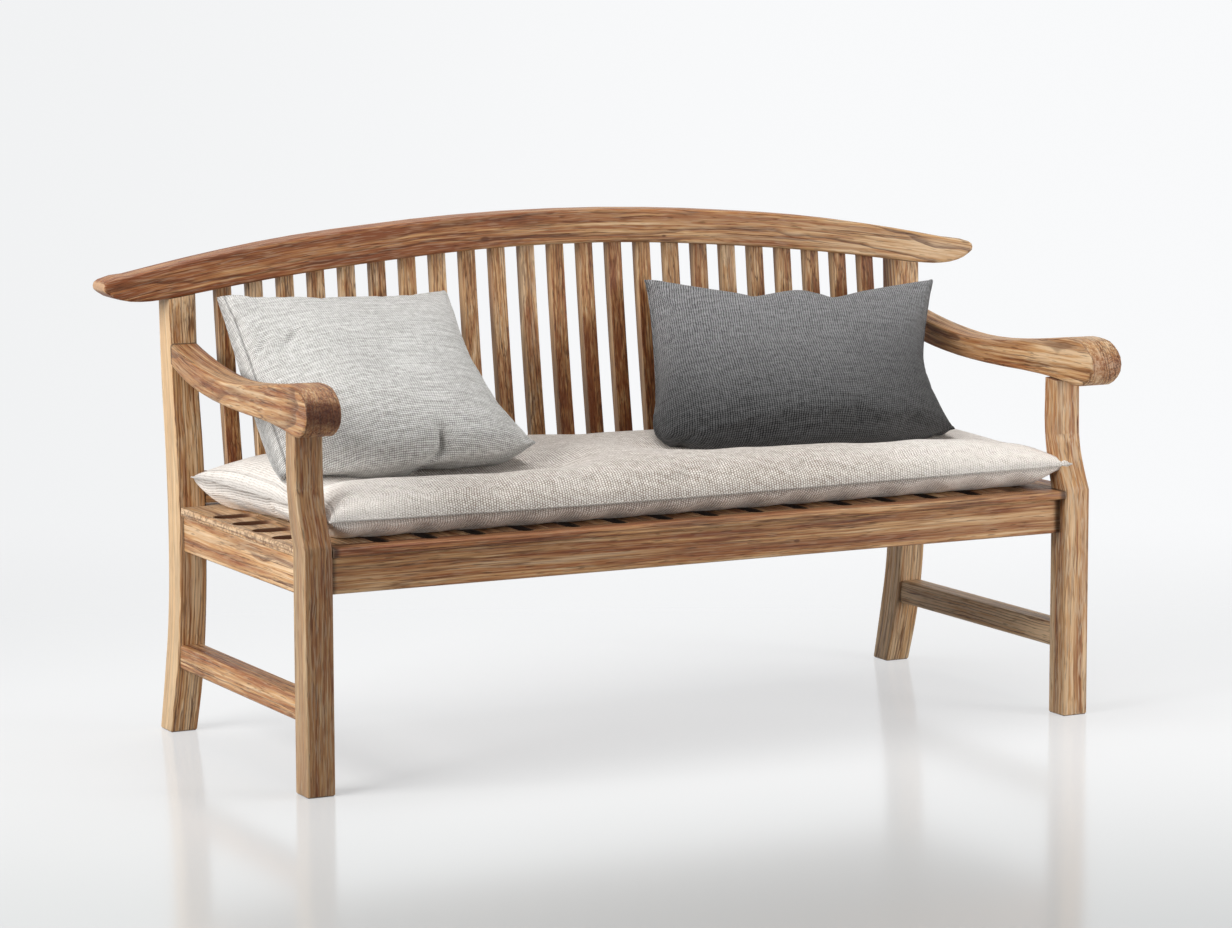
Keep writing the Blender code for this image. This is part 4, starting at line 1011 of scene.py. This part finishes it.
# Dimples along the front roll, and how deep, wide and far in each is
DIMPLES = (-0.654, -0.542, -0.397, -0.218, -0.029, 0.216, 0.402, 0.59)
DIMPLE_DEPTH = 0.014
DIMPLE_HALF = 0.022
DIMPLE_INSIDE = 0.022
DIMPLE_REACH = 0.016
SWELL = 0.005
SWELL_SCALES = (6.5, 15.0)
SLAT_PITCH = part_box("seat_slat_02")[0].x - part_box("seat_slat_01")[0].x
WAVE = 0.006


def soft_noise(points, scale, seed):
    """Smooth values round zero at an array of places."""
    flat = points.reshape(-1, 3)
    shift = Vector((seed * 3.1, seed * 1.7, seed * 2.3))
    values = [mathutils.noise.noise(Vector(p) * scale + shift) for p in flat]
    return np.array(values).reshape(points.shape[:-1])


def round_over(inside, reach):
    """A quarter round from 0 at the edge to 1 at a reach inside it."""
    t = np.clip(inside / reach, 0, 1)
    return np.sqrt(1 - (1 - t) ** 2)


def pad_insides(u, v):
    """How far a place is inside the pad's left, right, front and rear edges."""
    long = PAD_EARS[1][0] - PAD_EARS[0][0]
    deep = PAD_EARS[2][1] - PAD_EARS[1][1]
    return (1 + u) / 2 * long, (1 - u) / 2 * long, (1 + v) / 2 * deep, (1 - v) / 2 * deep


def fullness(insides, reaches):
    """All four edges rounded over."""
    return math.prod(round_over(inside, reach) for inside, reach in zip(insides, reaches))


def pad_plan(u, v):
    """The pad's seam and plan, ears and drawn-in edges included."""
    place = corner_blend(PAD_EARS[::-1], u, v)
    place[..., 0] -= u * PAD_SIDE_IN * (1 - np.abs(v) ** 6)
    place[..., 1] -= v * PAD_FRONT_IN * (1 - np.abs(u) ** 24)
    place[..., 2] -= PAD_SEAM_SAG * (1 - np.abs(u) ** 8)
    return place


def pad_surface(u, v, side):
    """Places on the pad's top or underside."""
    place = pad_plan(u, v)
    x, y = place[..., 0], place[..., 1]
    insides = pad_insides(u, v)
    seam = place[..., 2].copy()
    if side < 0:
        roll = fullness(insides, PAD_ROLLS)
        hang = 0.5 + 0.5 * np.cos(2 * np.pi * x / SLAT_PITCH)
        lift = WAVE * hang * np.sin(np.pi * roll) * (v < 0)
        place[..., 2] = seam - SEAM_HALF - (seam - SEAM_HALF - DECK - CLEAR) * roll + lift
        return place
    full = fullness(insides, PAD_CROWNS)
    flat = np.stack([x, y, 0 * x], -1)
    swell = soft_noise(flat, SWELL_SCALES[0], 2) + 0.5 * soft_noise(flat, SWELL_SCALES[1], 5)
    rise = (pad_height(x) - seam) * full - dent(x, y) * full + SWELL * swell * full
    for middle in DIMPLES:
        rise -= DIMPLE_DEPTH * full * np.exp(-((x - middle) / DIMPLE_HALF) ** 2
                                             - ((insides[2] - DIMPLE_INSIDE) / DIMPLE_REACH) ** 2)
    place[..., 2] = seam + SEAM_HALF + np.maximum(rise, 0)
    return place


def pad_limit(points):
    """Keep the pad on the deck."""
    points[:, 2] = np.maximum(points[:, 2], DECK + CLEAR)
    return points


PAD_MESH = sewn_mesh("seat_cushion", PAD_COUNTS, PAD_FLAT, pad_surface, np.array((1, 0, 0)),
                     np.array((0, 1, 0)), pad_limit)
PAD = sewn_piece(PAD_MESH, OATMEAL, "seat_pad", "pad_fabric", pad_limit, *PAD_STUFFING)
print("pad:", len(PAD.data.vertices), "points")

# %% [markdown]
# ## The pillows
#
# Two pillows lean on the slats. Each is thick in the middle, thin at its seam and pointed at its
# corners, and its sides draw in because the filling takes up the cloth. The foot is fuller than
# the top, because the filling has slumped.

# %% Pillows
PILLOW_COUNTS = (110, 96)
PILLOW_STUFFING = (0.7, 4.0, 0.03, 0.01)
LIGHT_FLAT = (0.5, 0.49)
DARK_FLAT = (0.61, 0.4)
# How full a pillow is, how far its fullness has slumped, and how blunt its rounding is
PUFF = 0.08
SLUMP = 0.3
PUFF_POWER = 0.46
PILLOW_SWELL = 0.008
PILLOW_SWELL_SCALE = 8.0
# The belly bulges forward and a little down, and is smaller towards the right
BELLY_WAY = (0.0, -1.0, -0.12)
BELLY_LEAN = 0.85
BELLY_TAPER = 0.45
EDGE_SKEW = 0.35
EDGE_POWER = 2.4


def pad_top(x, y):
    """Height of the pad's top under a place, without its small dimples."""
    insides = (x - PAD_LOW.x, PAD_HIGH.x - x, y - PAD_LOW.y, PAD_HIGH.y - y)
    seam = PAD_EARS[0][2]
    return seam + (pad_height(x) - seam - dent(x, y) + SWELL) * fullness(insides, PAD_CROWNS)


class Pillow:
    """One pillow: its corners, and how its edges draw in, wave, crease and tuck under."""

    def __init__(self, corners, draw, belly, waves, creases, tucks, seed):
        self.corners, self.draw, self.belly, self.waves = corners, draw, belly, waves
        self.creases, self.tucks, self.seed = creases, tucks, seed
        left_top, right_top, right_foot, left_foot = (Vector(c) for c in corners)
        self.facing = np.array((right_top - left_foot).cross(left_top - right_foot).normalized())
        self.upward = np.array(((left_top + right_top) - (left_foot + right_foot)).normalized())
        self.sideways = np.array(((right_top + right_foot) - (left_top + left_foot)).normalized())

    def seam(self, u, v):
        """The flat sheet that the seam lies in, drawn in along each edge."""
        place = corner_blend(self.corners, u, v)
        left, right, top, foot = self.draw
        lower = np.where(u > 0, v + EDGE_SKEW * (1 - v * v), v)
        across = -np.where(u > 0, right, -left) * np.abs(u) * (1 - np.abs(lower) ** EDGE_POWER)
        rise = -np.where(v > 0, top, -foot) * np.abs(v) * (1 - np.abs(u) ** EDGE_POWER)
        for where, height, width in self.waves:
            rise = rise + height * np.exp(-((u - where) / width) ** 2) * np.clip(v, 0, 1) ** 3
        for side, end, far in self.tucks:
            pull = np.clip(side * u, 0, 1) ** 6 * np.clip(end * v, 0, 1) ** 6
            across = across - side * far * pull
            rise = rise - end * far * pull
        return place + across[..., None] * self.sideways + rise[..., None] * self.upward

    def crease(self, u, v):
        """How deep the folds are."""
        total = np.zeros_like(u)
        for u0, v0, u1, v1, depth, width in self.creases:
            long = (u1 - u0) ** 2 + (v1 - v0) ** 2
            along = np.clip(((u - u0) * (u1 - u0) + (v - v0) * (v1 - v0)) / long, 0, 1)
            away = np.hypot(u - u0 - along * (u1 - u0), v - v0 - along * (v1 - v0))
            total += depth * np.exp(-(away / width) ** 2) * np.sin(np.pi * (0.15 + 0.7 * along))
        return total

    def surface(self, u, v, side):
        """Places on the front or back."""
        sheet = self.seam(u, v)
        low = v + SLUMP * (1 - v * v)
        full = np.clip((1 - u * u) * (1 - low * low), 0, 1) ** PUFF_POWER
        swell = soft_noise(sheet + self.facing * side * 0.3, PILLOW_SWELL_SCALE, self.seed)
        foot = np.clip(-v, 0, 1) ** 1.3
        belly = self.belly * (1 - BELLY_TAPER * np.clip(u, 0, 1) ** 2)
        depth = SEAM_HALF + full * (PUFF * (1 + belly * foot) + PILLOW_SWELL * swell)
        way = np.broadcast_to(self.facing * side, sheet.shape)
        if side > 0:
            depth = depth - self.crease(u, v) * full
            lean = (foot * BELLY_LEAN)[..., None]
            way = way * (1 - lean) + np.array(BELLY_WAY) * lean
            way = way / np.linalg.norm(way, axis=-1, keepdims=True)
        return sheet + way * depth[..., None]

    def limit(self, points):
        """Keep the pillow in front of the slats and on the pad."""
        points[:, 1] = np.minimum(points[:, 1], slat_face(points[:, 2]) - CLEAR)
        points[:, 2] = np.maximum(points[:, 2], pad_top(points[:, 0], points[:, 1]) + CLEAR)
        return points


def make_pillow(name, pillow, flat, finish, node, slot):
    """One leaning pillow."""
    mesh = sewn_mesh(name, PILLOW_COUNTS, flat, pillow.surface, pillow.sideways, pillow.upward,
                     pillow.limit)
    return sewn_piece(mesh, finish, node, slot, pillow.limit, *PILLOW_STUFFING)


# draw is how far the left, right, top and foot edges draw in. A wave of the top edge has a place,
# height and width, a crease two ends, depth and width, and a tucked corner a side, end and depth
LEFT = Pillow(
    LEFT_CORNERS, draw=(-0.01, 0.032, 0.019, -0.026), belly=0.5, waves=(),
    creases=((0.19, -0.77, 0.2, -0.88, 0.018, 0.035), (0.2, -0.87, 0.02, -1.0, 0.024, 0.045),
             (-0.89, 0.12, -0.78, 0.26, 0.011, 0.032), (-0.68, 0.13, -0.53, 0.3, 0.011, 0.032)),
    tucks=(), seed=3)
RIGHT = Pillow(
    RIGHT_CORNERS, draw=(0.008, 0.04, 0.034, -0.024), belly=1.00,
    waves=((-0.3, -0.01, 0.1), (0.0, 0.01, 0.12), (0.24, -0.012, 0.12)),
    creases=((0.84, 0.8, 0.96, 0.2, 0.01, 0.045), (0.97, 0.95, 0.7, 0.62, 0.005, 0.05),
             (-0.92, -0.86, -0.5, -0.7, 0.008, 0.05)), tucks=((-1, -1, 0.017),), seed=6)
LIGHT_PILLOW = make_pillow("light_pillow", LEFT, LIGHT_FLAT, OFF_WHITE, "pillow_left",
                           "light_pillow_fabric")
DARK_PILLOW = make_pillow("dark_pillow", RIGHT, DARK_FLAT, CHARCOAL, "pillow_right",
                          "dark_pillow_fabric")
print("pillows:", len(LIGHT_PILLOW.data.vertices), len(DARK_PILLOW.data.vertices), "points")
